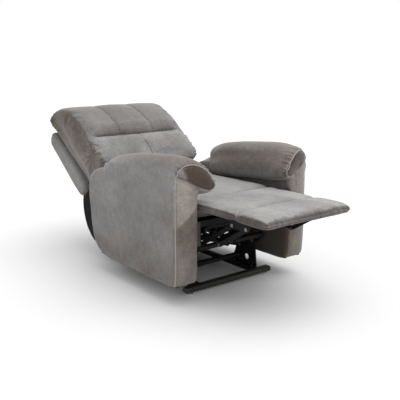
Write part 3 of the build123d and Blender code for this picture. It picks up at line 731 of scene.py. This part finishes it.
def arm_body(sgn):
    def to3(x, y, z):
        return (sgn * x, y + Y0, z)
    ob = slab("arm_body", ARM_PROF, None, .016, n=190, nx=11, to3=to3, x0=.287, x1=.4195)
    c = coords(ob)
    ax = np.abs(c[:, 0])
    # the top slopes down to the inner side, and the inner bottom corner of the front is round
    y, z = c[:, 1] - Y0, c[:, 2]
    top = .540 + (.603 - .540) * smooth(.285, .425, ax)
    over = np.clip(z - .44, 0, None)
    lim = np.clip(top - .44, .01, None)
    z = np.where(z > .44, .44 + lim * np.tanh(over / lim * 1.15) / np.tanh(1.15 * (.595 - .44) / lim.clip(.05)), z)
    # padded front face
    f = smooth(.10, .0, y)
    bulge = np.clip(1 - ((ax - .353) / .068) ** 2, 0, 1)
    y = y - .020 * f * bulge * smooth(.085, .16, z)
    # outer panel fullness
    fo = smooth(.40, .42, ax)
    sidebulge = np.clip(1 - ((y - .38) / .44) ** 2, 0, 1) * np.clip(1 - ((z - .33) / .27) ** 2, 0, 1)
    ax2 = ax + .006 * fo * sidebulge
    c[:, 0] = sgn * ax2
    c[:, 1] = y + Y0
    c[:, 2] = z
    set_coords(ob, c)
    return ob


def pad_section(y, n=80):
    """Cross-section of the draped arm pillow, |x| and z."""
    zt = np.interp(y, [-.05, -.01, .0, .03, .066, .10, .16, .28, .40, .50, .56, .62, .68],
                   [.660, .665, .668, .680, .689, .691, .690, .681, .667, .652, .641, .622, .600])
    zb = np.interp(y, [-.05, .0, .12, .52, .68], [.543, .538, .502, .462, .470])
    xin = np.interp(y, [-.05, .10, .40, .68], [.213, .222, .236, .246])
    pts = [(.405, .520), (.4185, .565), (.4195, .598), (.4175, .622), (.4085, zt - .036), (.392, zt - .017), (.366, zt - .005), (.336, zt),
           (.306, zt - .004), (.280, zt - .017), (.256, zt - .036), (xin + .023, zt - .062), (xin + .007, zt - .092),
           (xin, (zt + zb) / 2 - .014), (xin + .003, zb + .028), (xin + .016, zb + .006), (xin + .040, zb),
           (.292, zb + .004), (.315, zb + .012), (.345, .535), (.38, .525)]
    return resample(pts, n)


def arm_pad(sgn):
    ys = [.004, .004, .004, .004, .006, .012, .022, .04, .07, .11, .16, .22, .28, .34, .40, .46, .52, .57, .61, .638, .655, .664, .668, .668]
    sc = [.02, .45, .70, .86, .94, .98, .997, 1, 1, 1, 1, 1, 1, 1, 1, 1, 1, .995, .97, .91, .80, .62, .35, .02]
    secs = []
    for y, k in zip(ys, sc):
        p = pad_section(y)
        ctr = np.array([.318, .605]) if y < .3 else np.array([.335, .575])
        q = ctr + (p - ctr) * k
        out = []
        for ax, z in q:
            skew = -.056 * np.clip((.42 - ax) / .21, 0, 1.05) * float(1 - smooth(.0, .22, y))
            if y < .02:
                skew -= .013 * (1 - k ** 2)
            rear = 0.0
            if y > .3:
                # the inner side ends sooner than the outer
                rear = -.075 * np.clip((.34 - ax) / .12, 0, 1) * float(smooth(.42, .66, y))
            out.append((sgn * ax, y + skew + rear + Y0, z))
        secs.append(out)
    return loft("arm_pad_raw", secs)


ARMS = {}
for sgn, tag in ((-1, "right"), (1, "left")):
    pad = arm_pad(sgn)
    remesh(pad, .0085)
    relax(pad, .5, 2)
    puff(pad, .005, pressure=3.0, tension=10, bend=.4)
    ARMS[tag] = [sgn, pad]

# ----------------------------------------------------- seat, chaise, footrest
SEAT_W = .272
seat_prof = [(.108, .392), (.108, .455), (.112, .470), (.13, .4735), (.30, .474), (.55, .470), (.66, .466), (.70, .450), (.704, .41), (.70, .389), (.12, .389)]
seat = slab("seat_cover", seat_prof, SEAT_W - .004, .016, n=150, nx=17, to3=side3)
remesh(seat, .0095)
relax(seat, .5, 2)
puff(seat, .008, pressure=3.5, tension=12, bend=.8)

chaise_prof = [(-.421, .440), (-.423, .462), (-.416, .4725), (-.39, .4755), (-.30, .4765), (-.20, .4755), (-.05, .4745), (.09, .4725), (.104, .468),
               (.106, .45), (.106, .40), (.100, .389), (.068, .389), (.062, .40), (.058, .434), (.03, .4375), (-.10, .437), (-.30, .435), (-.40, .434)]
chaise = slab("chaise_cover", chaise_prof, .276, .013, n=190, nx=21, to3=side3)
c = coords(chaise)
yy = c[:, 1] - Y0
notch = np.exp(-((yy + .203) / .022) ** 2)
c[:, 0] *= 1 - .016 * notch
c[:, 2] += np.where(c[:, 2] > .455, .004 - .011 * (np.abs(c[:, 0]) / .276) ** 4 - .006 * smooth(-.37, -.42, yy), 0)
set_coords(chaise, c)
remesh(chaise, .0075)
relax(chaise, .5, 1)
puff(chaise, .006, pressure=3.0, tension=12, bend=.6)

run_sims(18)

# ------------------------------------------------------------- arms, joined
for sgn, tag in ((-1, "right"), (1, "left")):
    pad = ARMS[tag][1]
    body = arm_body(sgn)
    arm = join("arm_cover_%s_skin" % tag, [body, pad])
    remesh(arm, .0062)
    relax(arm, .5, 4)
    ARMS[tag] = [sgn, arm]


OVAL = [(.409, .640), (.398, .651), (.376, .659), (.348, .662), (.322, .658), (.298, .646), (.270, .626), (.245, .599), (.228, .576),
        (.223, .560), (.232, .549), (.256, .547), (.282, .552), (.305, .561), (.330, .574), (.354, .588), (.380, .601), (.402, .609), (.412, .622)]


def cap_y(ax):
    return -.060 * np.clip((.42 - ax) / .21, 0, 1.05)


def arm_paths(sgn, arm):
    def P(pts):
        p = np.asarray(pts, float).copy()
        p[:, 0] *= sgn
        p[:, 1] += Y0
        return p
    # piping: up the outer front edge, over the pillow's front rim and down to its inner tip
    line = spline(P([(.418, .030, .093), (.4195, .016, .110), (.420, .012, .20), (.4205, .011, .35), (.4205, .010, .50), (.4200, .008, .585),
                     (.416, .003, .625), (.405, -.001, .647), (.388, -.005, .661), (.364, -.011, .668), (.340, -.017, .669), (.316, -.024, .664),
                     (.292, -.031, .651), (.265, -.039, .628), (.242, -.046, .602), (.224, -.050, .578), (.216, -.050, .561), (.225, -.046, .547),
                     (.250, -.040, .540)]), 170)
    pipe = even(snap(arm, line), 3)
    oval = resample([(a, cap_y(a) - .12, z) for a, z in OVAL], 120)
    oval = even(shoot(arm, P(oval), (0, 1, 0)), 2)
    fold = spline([(.417, -.10, .607), (.404, -.10, .604), (.388, -.10, .598), (.368, -.10, .586), (.348, -.10, .572), (.328, -.10, .557),
                   (.312, -.10, .547), (.302, -.10, .541)], 60)
    fold = even(shoot(arm, P(fold), (0, 1, 0)), 2)
    return pipe, oval, fold


for tag, (sgn, arm) in ARMS.items():
    pipe, oval, fold = arm_paths(sgn, arm)
    carve(arm, fold, .010, .010, fade=.012)
    carve(arm, fold, .006, .005, fade=.008)
    carve(arm, pipe, .003, .006)
    carve(arm, oval, .0042, .0055, closed=True, ripple=.0008, pitch=.018)
    # fold where the pillow's rear end dies into the outer panel
    rear = even(snap(arm, V3([(sgn * .421, yy, zz) for yy, zz in ((.665, .592), (.650, .578), (.630, .571), (.605, .567), (.58, .566))])))
    carve(arm, rear, .005, .007, fade=.02)
    c, n = coords(arm), normals(arm)
    y, z, ax = c[:, 1] - Y0, c[:, 2], np.abs(c[:, 0])
    # gathers fan out from the piping over the pillow, and short ones inside the oval's outer end
    d, s, total = seg_dist(c, pipe)
    do, so, _ = seg_dist(c, oval, closed=True)
    sd = inside(OVAL, ax, z)
    front = smooth(-.2, -.7, n[:, 1]) * (y < .10)
    onpad = smooth(.60, .635, z) + smooth(.30, .26, ax) * smooth(.53, .555, z)
    g = np.exp(-(d / .040) ** 2) * (1 - np.exp(-(d / .0055) ** 2)) * np.clip(onpad, 0, 1) * (1 - front * smooth(-.004, .004, sd))
    ph = s / .0185 * 2 * math.pi
    amp = .0034 * g * (np.sin(ph + 1.7 * np.sin(s * 31)) + .5 * np.sin(ph * .53 + 2)) * (y < .2)
    g2 = front * smooth(0, .006, sd) * np.exp(-(do / .022) ** 2) * smooth(.345, .395, ax)
    amp += .0032 * g2 * np.sin(so / .012 * 2 * math.pi)
    # gathers of the front panel where it tucks in under the pillow
    df, sf, _ = seg_dist(c, fold)
    g3 = front * smooth(-.002, -.01, sd) * np.exp(-(df / .05) ** 2) * (z < .60) * (1 - np.exp(-(df / .008) ** 2))
    amp += .0016 * g3 * np.sin(sf / .021 * 2 * math.pi + 2 * np.sin(z * 60))
    set_coords(arm, c + n * amp[:, None])
    # long soft creases on the outer panel and the pillow
    bump(arm, .16, .0035, seed=3 + (sgn > 0), octaves=2, mask=lambda c, n: smooth(.10, .2, c[:, 2]))
    bump(arm, .045, .0010, seed=9 + (sgn > 0), octaves=2)
    c, n = coords(arm), normals(arm)
    y, z, ax = c[:, 1] - Y0, c[:, 2], np.abs(c[:, 0])
    front = smooth(-.25, -.7, n[:, 1]) * (y < .10)
    sd = inside(OVAL, ax, z)
    cap = front * smooth(-.003, .003, sd)
    pile = noise3(c, .12, 21)
    # painted light and shade: the arm's top paler and its lower part darker, over random nap patches
    nap_and_shade = .22 + .14 * pile - .10 * smooth(.45, .60, z) + .22 * smooth(.34, .12, z)
    # nap of the front panel: brushed pale above a slanting line, dark below it
    slant = (z - .397) - (ax - .391) * (.471 - .397) / (.301 - .391)
    panel = front * (1 - smooth(-.004, .002, sd)) * (z < .62)
    nap_and_shade += panel * (-.20 + .50 * smooth(.15, .38, z) - .72 * smooth(-.006, .006, slant) + .12 * noise3(c, .05, 23))
    brown = smooth(.392, .372, ax - .30 * (z - .64))
    nap_and_shade = np.where(cap > .02, nap_and_shade * (1 - cap) + cap * (-.02 + .98 * brown + .18 * (1 - brown) * np.sin(z * 700)), nap_and_shade)
    do, _, _ = seg_dist(c, oval, closed=True)
    nap_and_shade += .9 * np.exp(-(do / .0035) ** 2) * front * smooth(.56, .60, z + .2 * (.42 - ax))
    # painted shade: the inner faces that look into the chair are darker, most of all below the seat
    inner = smooth(.25, .75, -sgn * n[:, 0])
    nap_and_shade += inner * (.35 + .40 * smooth(.52, .44, z))
    # painted shade on faces that turn downward
    nap_and_shade += .45 * smooth(.35, .9, -n[:, 2])
    paint(arm, nap_and_shade, .95 * front + .75 * smooth(.50, .58, z) * smooth(.400, .375, ax) + .25 * smooth(.30, .15, z))
    dress(arm, M_VELVET, "chassis")
    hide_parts("arm_cover_" + tag, "arm_pad_" + tag)
    on = even(snap(arm, pipe, .0010), 2)
    dress(tube("arm_piping_" + tag, on, .0031), M_PIPE, "chassis")
    rim = snap(arm, np.vstack([oval, oval[:1]]), -.0004)
    dress(tube("arm_cap_seam_" + tag, rim, .0013, sides=6), M_PIPE_DARK, "chassis")

# ----------------------------------------------------------- back, detailed
subdivide(back_cush)
CREASE = .400


def bp(pts):
    return from_back(np.array([p[0] for p in pts], float), np.array([p[1] for p in pts], float), np.array([p[2] for p in pts], float))


# the head part overhangs a deep fold that dies out before the sides; panels between seams are full
c = coords(back_cush)
x, u, v = to_back(c)
faces = smooth(.06, .14, v)
run = 1 - smooth(.235, .318, np.abs(x))
uc = CREASE - .004 * (1 - (x / .3) ** 2)
du = u - uc
dip = np.where(du > 0, np.exp(-np.abs(du) / .017), np.exp(-np.abs(du) / .030))
v = v - .022 * dip * run * faces
v = v + .007 * run * faces * (np.exp(-((du - .055) / .035) ** 2) + .7 * np.exp(-((du + .075) / .05) ** 2))
full_h = np.cos(np.clip(np.where(np.abs(x) < .112, x / .112, (np.abs(x) - .224) / .112), -1, 1) * math.pi / 2)
full_l = np.cos(np.clip((np.abs(x) - .16) / .16, -1, 1) * math.pi / 2)
v = v + faces * (.005 * full_h * smooth(.42, .47, u) * smooth(.80, .70, u) + .005 * full_l * smooth(.39, .34, u) * smooth(.18, .24, u))
set_coords(back_cush, from_back(x, u, v))
cre = even(shoot(back_cush, bp([(xx, CREASE - .004 * (1 - (xx / .3) ** 2), .30) for xx in np.linspace(-.300, .300, 61)]),
                 bp([(0, 0, -1)])[0] - bp([(0, 0, 0)])[0]), 2)
carve(back_cush, cre, .007, .006, fade=.05, ripple=.0012, pitch=.045)
seams = []
for xs in (-.112, .112):
    pts = bp([(xs, uu, vv) for uu, vv in ((.402, .185), (.45, .205), (.52, .207), (.60, .192), (.66, .172), (.720, .139), (.766, .099), (.799, .054), (.816, .012))])
    seams.append(even(snap(back_cush, spline(pts, 70)), 2))
pts = bp([(0.0, uu, .21) for uu in np.linspace(.17, .393, 24)])
seams.append(even(snap(back_cush, pts), 2))
for sm in seams:
    carve(back_cush, sm, .0030, .014)
    carve(back_cush, even(snap(back_cush, sm), 1), .0034, .0045)
# side seam of the rear boxing
for sg in (-1, 1):
    pts = bp([(sg * BACK_W, uu, vv) for uu, vv in ((.27, -.004), (.35, -.008), (.5, -.010), (.65, -.010), (.75, -.010))])
    carve(back_cush, snap(back_cush, spline(pts, 60)), .0035, .006)
# gathers at the outer corners
for sg in (-1, 1):
    for (uc_, vc_, rad, k, h) in ((.800, .030, .060, 16, .0040), (.300, .150, .075, 11, .0045), (.345, .195, .06, 9, .0025)):
        c, n = coords(back_cush), normals(back_cush)
        x, u, v = to_back(c)
        du, dv = u - uc_, v - vc_
        r2 = du ** 2 + dv ** 2
        near = np.exp(-(r2 / rad ** 2)) * (1 - np.exp(-r2 / .012 ** 2)) * smooth(.245, .318, sg * x)
        ang = np.arctan2(dv, du)
        amp = h * near * (np.sin(ang * k + 3 * sg) + .4 * np.sin(ang * k * .6))
        set_coords(back_cush, c + n * amp[:, None])
PLEATS = []
for sg in (-1, 1):
    for k, a in enumerate(np.radians([-22, -4, 14, 31, 47, 62])):
        pts = [(sg * xx, .744 + r * math.cos(a), .028 + r * math.sin(a)) for xx, r in ((BACK_W + .002, .045), (BACK_W, .062), (BACK_W - .012, .076), (BACK_W - .03, .082), (BACK_W - .05 - .006 * (k % 3), .084))]
        PLEATS.append((pts, .0050, .0038))
    for k, a in enumerate(np.radians([112, 130, 150, 172, 196])):
        pts = [(sg * xx, .235 + r * math.cos(a), .135 + r * math.sin(a)) for xx, r in ((BACK_W - .004, .035), (BACK_W - .008, .055), (BACK_W - .03, .068), (BACK_W - .055 - .008 * (k % 2), .072))]
        PLEATS.append((pts, .0045, .0042))
    for du_, dx_ in ((.050, -.045), (.060, -.012), (.046, .018), (-.045, -.040), (-.060, -.008)):
        pts = [(sg * (.298 + dx_ * t_), .400 + du_ * t_, .215) for t_ in (.12, .45, .8, 1.1)]
        PLEATS.append((pts, .0034, .0050))
for pts, h, wd in PLEATS:
    line = even(snap(back_cush, spline(bp(pts), 16)), 1)
    carve(back_cush, line, h, wd, fade=.014)
bump(back_cush, .15, .0028, seed=5, octaves=2)
bump(back_cush, .05, .0009, seed=6, octaves=2)
c, n = coords(back_cush), normals(back_cush)
x, u, v = to_back(c)
sidef = smooth(.50, .76, np.abs(n[:, 0]))
# painted shade: the sides, the outer edges and the top outer corners are darker, and a painted shadow line runs just
# above the crease under the head's overhang; the right head panel is a little darker and the lumbar part lighter, with
# random nap patches
nap_and_shade = .17 + .09 * smooth(.10, .13, x) * smooth(.39, .42, u) + .46 * sidef + .14 * noise3(c, .15, 4)
nap_and_shade += -.22 * smooth(.405, .385, u) * (1 - sidef)
nap_and_shade += .25 * np.exp(-((u - .412) / .012) ** 2) * (1 - smooth(.25, .31, np.abs(x))) * smooth(.1, .15, v)
nap_and_shade += .22 * smooth(.72, .82, u) * smooth(.2, .33, np.abs(x)) + .12 * smooth(.26, .33, np.abs(x)) * smooth(.40, .5, u)
paint(back_cush, nap_and_shade, .15 + .6 * sidef)


SPLIT = .305


def cut(ob, name, upper):
    """A closed copy of one side of a plane across the cushion, just above the arms when the back is upright; it keeps the whole cushion's normals."""
    import bmesh
    from mathutils.bvhtree import BVHTree
    me = ob.data.copy()
    bm = bmesh.new()
    bm.from_mesh(me)
    o = Vector(back3(0, SPLIT, 0))
    d = (Vector(back3(0, SPLIT + .1, 0)) - o).normalized()
    bmesh.ops.bisect_plane(bm, geom=bm.verts[:] + bm.edges[:] + bm.faces[:], plane_co=o, plane_no=d, clear_inner=upper, clear_outer=not upper)
    rim = [e for e in bm.edges if e.is_boundary]
    bmesh.ops.holes_fill(bm, edges=rim, sides=0)
    bm.to_mesh(me)
    bm.free()
    new = bpy.data.objects.new(name, me)
    SCENE.collection.objects.link(new)
    me.polygons.foreach_set("use_smooth", [len(p.vertices) < 9 for p in me.polygons])
    src = ob.data
    src.calc_loop_triangles()
    vn = np.array([v.normal for v in src.vertices])
    tree = BVHTree.FromPolygons([v.co for v in src.vertices], [t.vertices for t in src.loop_triangles])
    tv = np.array([t.vertices for t in src.loop_triangles])
    sc = coords(ob)
    nor = []
    for v in me.vertices:
        loc, _, k, _ = tree.find_nearest(v.co)
        a, b_, c_ = sc[tv[k]]
        w = np.array([np.linalg.norm(np.cross(b_ - loc, c_ - loc)), np.linalg.norm(np.cross(c_ - loc, a - loc)), np.linalg.norm(np.cross(a - loc, b_ - loc))]) + 1e-12
        m = (vn[tv[k]] * w[:, None]).sum(0)
        nor.append(m / np.linalg.norm(m))
    loops = [tuple(nor[me.loops[i].vertex_index]) if len(p.vertices) < 9 else tuple(p.normal) for p in me.polygons for i in p.loop_indices]
    me.normals_split_custom_set(loops)
    return new


head = cut(back_cush, "head_cover", True)
lumbar = cut(back_cush, "lumbar_cover", False)
dress(head, M_VELVET, "back")
dress(lumbar, M_VELVET, "back")
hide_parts("head_cushion")
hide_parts("lumbar_cushion")
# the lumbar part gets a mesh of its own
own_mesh(lumbar)
for i, sm in enumerate(seams):
    t = tube("back_seam_%d" % (i + 1), snap(back_cush, sm, -.0002), .0012, sides=6)
    dress(t, M_PIPE_DARK, "back")
# painted shadow: a near-black thread laid in the crease where the head part overhangs the lumbar part
t = tube("back_crease_shadow_line", snap(back_cush, cre[4:-4], -.0002), .0014, sides=6)
dress(t, M_PIPE_DARK, "back")
# piping of the zipped rear edge
pts = [(-BACK_W, .262, -.022), (-BACK_W, .40, -.025), (-BACK_W, .60, -.027), (-BACK_W, .745, -.030), (-BACK_W + .006, .778, -.034), (-BACK_W + .03, .795, -.037),
       (-.2, .800, -.038), (0, .802, -.038), (.2, .800, -.038), (BACK_W - .03, .795, -.037), (BACK_W - .006, .778, -.034), (BACK_W, .745, -.030),
       (BACK_W, .60, -.027), (BACK_W, .40, -.025), (BACK_W, .262, -.022)]
zp = even(snap(back_cush, spline(bp(pts), 220), .001), 2)
zu = to_back(zp)[1]
run_u = np.where(zu > SPLIT)[0]
t = tube("back_rear_piping", zp[run_u[0]:run_u[-1] + 1], .0026)
dress(t, M_PIPE_SHADED, "back")
for tag, part_of in (("right", zp[:run_u[0] + 1]), ("left", zp[run_u[-1]:])):
    t = tube("back_rear_piping_low_" + tag, part_of, .0026)
    dress(t, M_PIPE_SHADED, "back")
    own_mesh(t)
bpy.data.objects.remove(back_cush)

# outer back: upholstered box behind the cushion
ob_prof = [(.262, -.052), (.262, -.128), (.272, -.143), (.34, -.1425), (.55, -.137), (.70, -.132), (.728, -.126), (.742, -.110), (.744, -.075), (.740, -.050), (.72, -.046), (.50, -.046)]
outer = slab("outer_back", ob_prof, .337, .014, n=170, nx=21, to3=back3)
remesh(outer, .009)
relax(outer, .5, 2)
subdivide(outer)
bump(outer, .15, .002, seed=12, octaves=2)
c, n = coords(outer), normals(outer)
# painted shade: the sides a little darker, over random nap patches
paint(outer, .12 + .12 * noise3(c, .15, 7) + .1 * smooth(.4, .8, np.abs(n[:, 0])))
dress(outer, M_VELVET, "back")
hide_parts("outer_back_panel", "back_wing_frames")
pts = []
for sg in (-1, 1):
    line = [(sg * .337, uu, vv) for uu, vv in ((.268, -.132), (.34, -.1385), (.55, -.133), (.70, -.128), (.726, -.122))]
    t = tube("outer_back_welt_%d" % (1 if sg < 0 else 2), snap(outer, spline(bp(line), 80), .0005), .0018, sides=6)
    dress(t, M_PIPE_DARK, "back")

# ----------------------------------------------------------- seat, detailed
subdivide(seat)
bump(seat, .13, .0025, seed=15, octaves=2)
c, n = coords(seat), normals(seat)
# painted light and shade: the seat top pale and its sides darker, with random nap patches
paint(seat, -.45 + .9 * smooth(.3, .8, np.abs(n[:, 0])) + .10 * noise3(c, .14, 8))
dress(seat, M_VELVET, "chassis")
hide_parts("seat_cushion")

subdivide(chaise)
seam_y = -.205


def cp(pts):
    p = np.asarray(pts, float)
    p[:, 1] += Y0
    return p


cross = snap(chaise, cp([(xx, seam_y + .012 * (xx / .26) ** 2 * (-1), .476) for xx in np.linspace(-.262, .262, 40)]))
carve(chaise, cross, .007, .024)
cross = snap(chaise, cross)
carve(chaise, cross, .004, .006, ripple=.001, pitch=.04)
# seam round the front and side borders, just under the top edge
rim = []
rim += [(-.275, yy, .466) for yy in np.linspace(.09, -.405, 40)]
rim += [(xx, -.423, .4655) for xx in np.linspace(-.268, .268, 40)]
rim += [(.275, yy, .466) for yy in np.linspace(-.405, .09, 40)]
rim = snap(chaise, cp(rim))
carve(chaise, rim, .0032, .0050, ripple=.0022, pitch=.040)
rim = snap(chaise, rim, .0002)
# border pleats near the two front corners
c, n = coords(chaise), normals(chaise)
yy = c[:, 1] - Y0
for xs in (-.262, -.245, -.215, -.180, .180, .215, .245, .262, -.10, .06):
    f = np.exp(-((c[:, 0] - xs) / .006) ** 2) * smooth(-.40, -.414, yy) * smooth(.474, .462, c[:, 2])
    c = c - n * (f * .0028)[:, None]
set_coords(chaise, c)
bump(chaise, .10, .0022, seed=17, octaves=2)
bump(chaise, .035, .0008, seed=18, octaves=2)
c, n = coords(chaise), normals(chaise)
yy = c[:, 1] - Y0
# painted shade: the sides, the front border and the underside darker, and the rear end tucked under the seat dark, over
# random nap patches
nap_and_shade = -.40 + 1.20 * smooth(.35, .8, np.abs(n[:, 0])) + .95 * smooth(.35, .8, -n[:, 1]) * (yy < -.3) + .14 * noise3(c, .12, 9)
nap_and_shade = np.where(n[:, 2] < -.3, 1.0, nap_and_shade)
nap_and_shade = nap_and_shade + 1.6 * smooth(.0, .05, yy) * smooth(.452, .436, c[:, 2])
paint(chaise, nap_and_shade)
chaise.data.materials.clear()
chaise.data.materials.append(M_VELVET)
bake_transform(chaise)
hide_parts("chaise_pad", "footrest_pad")


def blended_tube(name, path, r, mat):
    t = tube(name, path, r, sides=6)
    t.data.materials.append(mat)
    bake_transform(t)
    return t


blended_tube("footrest_rim_seam", rim, .0011, M_PIPE_DARK)
blended_tube("footrest_cross_seam", snap(chaise, cross, .0002), .0010, M_PIPE_DARK)

# --------------------------------------------------------- black dust cloths
def cloth_grid(name, pts2, x0, x1, nx, sag=.006, seed=1):
    """A hanging sheet: a side-view line carried across from x0 to x1."""
    p = resample(pts2, 46, closed=False, rounds=2)
    secs = []
    for i, x in enumerate(np.linspace(x0, x1, nx)):
        secs.append([(x, y + Y0, z) for y, z in p])
    ob = loft(name, secs, closed=False, cap=False)
    return ob


cover = cloth_grid("rear_dust_sheet", [(1.0416, .3556), (1.040, .328), (1.046, .300), (1.042, .247), (1.013, .172), (.945, .104), (.86, .078), (.795, .070)], -.322, .322, 60)
c, n = coords(cover), normals(cover)
t = (c[:, 2] - .07) / .26
w = np.sin(np.clip(t, 0, 1) * math.pi) * (1 - smooth(.285, .320, np.abs(c[:, 0])))
c[:, 1] += w * (.006 * np.sin(c[:, 0] * 34 + 1.2) + .004 * noise3(c, .09, 31))
c[:, 2] += w * (.004 * np.sin(c[:, 0] * 27 + .4))
set_coords(cover, c)
cover.data.materials.append(M_CAMBRIC)
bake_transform(cover)
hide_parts("rear_dust_cover")

for sg, tag in ((-1, "right"), (1, "left")):
    low = resample([(.795, .070), (.86, .078), (.945, .104), (1.013, .172), (1.042, .247), (1.046, .300), (1.040, .328)], 30, closed=False, rounds=2)
    high = resample([(.780, .085), (.775, .14), (.775, .22), (.785, .30), (.80, .40), (.86, .42), (.955, .425)], 30, closed=False, rounds=2)
    secs = []
    for k in np.linspace(0, 1, 16):
        bow = -.012 * math.sin(k * math.pi)
        secs.append([(sg * (.322 + bow * (1 if j > 3 else .3)), (1 - k) * a[0] + k * b[0] + Y0, (1 - k) * a[1] + k * b[1]) for j, (a, b) in enumerate(zip(low, high))])
    g = loft("side_gusset_" + tag, secs, closed=False, cap=False)
    c = coords(g)
    c[:, 0] += sg * .004 * noise3(c, .08, 41)
    set_coords(g, c)
    g.data.materials.append(M_CAMBRIC)
    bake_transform(g)

fd = cloth_grid("front_dust_sheet", [(.034, .352), (.060, .332), (.12, .306), (.20, .291), (.256, .284)], -.216, .216, 40)
c = coords(fd)
c[:, 2] += .006 * np.sin((c[:, 1] - Y0 - .034) / .222 * math.pi) * np.sin(c[:, 0] * 40) * .5
set_coords(fd, c)
dress(fd, M_CAMBRIC, "chassis")

# cloth flap that closes the gap behind the seat
flap = cloth_grid("seat_back_flap", [(.688, .446), (.704, .440), (.73, .431), (.77, .423), (.82, .418), (.87, .418), (.915, .425)], -.272, .272, 64)
c = coords(flap)
t = np.sin(np.clip((c[:, 1] - Y0 - .688) / .227, 0, 1) * math.pi)
c[:, 2] += t * (.004 * np.sin(c[:, 0] * 31 + .7) + .003 * noise3(c, .08, 51))
set_coords(flap, c)
paint(flap, .30 + .15 * noise3(c, .08, 52))
flap.data.materials.append(M_VELVET)
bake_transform(flap)

# ------------------------------------------------------------------- stage
floor = new_obj("floor", [(-30, -30, 0), (30, -30, 0), (30, 30, 0), (-30, 30, 0)], [(0, 1, 2, 3)], shade=False)
m, nt, b = nodes_of("pale_floor")
nz = node(nt, "ShaderNodeTexNoise", Scale=1.5, Detail=2.0)
cr = node(nt, "ShaderNodeValToRGB")
cr.color_ramp.elements[0].color = (.80, .80, .80, 1)
cr.color_ramp.elements[1].color = (.82, .82, .82, 1)
nt.links.new(nz.outputs["Fac"], cr.inputs["Fac"])
nt.links.new(cr.outputs["Color"], b.inputs["Base Color"])
b.inputs["Roughness"].default_value = .9
b.inputs["Specular IOR Level"].default_value = .1
floor.data.materials.append(m)

world = bpy.data.worlds.new("studio")
SCENE.world = world
world.use_nodes = True
bg = world.node_tree.nodes["Background"]
bg.inputs["Color"].default_value = (1, 1, 1, 1)
bg.inputs["Strength"].default_value = 1.0


def area(name, loc, aim, size, power, col=(1, 1, 1)):
    d = bpy.data.lights.new(name, "AREA")
    d.shape = "RECTANGLE"
    d.size, d.size_y = size
    d.energy = power
    d.color = col
    o = bpy.data.objects.new(name, d)
    SCENE.collection.objects.link(o)
    o.location = loc
    o.rotation_euler = (Vector(aim) - Vector(loc)).to_track_quat("-Z", "Y").to_euler()
    return o


sun = bpy.data.lights.new("softbox", "SUN")
sun.energy = 1.15
sun.angle = math.radians(62)
so = bpy.data.objects.new("softbox", sun)
SCENE.collection.objects.link(so)
so.rotation_euler = (Vector((0, 0, 0)) - Vector((.60, -.30, 2.0))).to_track_quat("-Z", "Y").to_euler()
SCENE.view_settings.view_transform = "Standard"
SCENE.view_settings.look = "None"
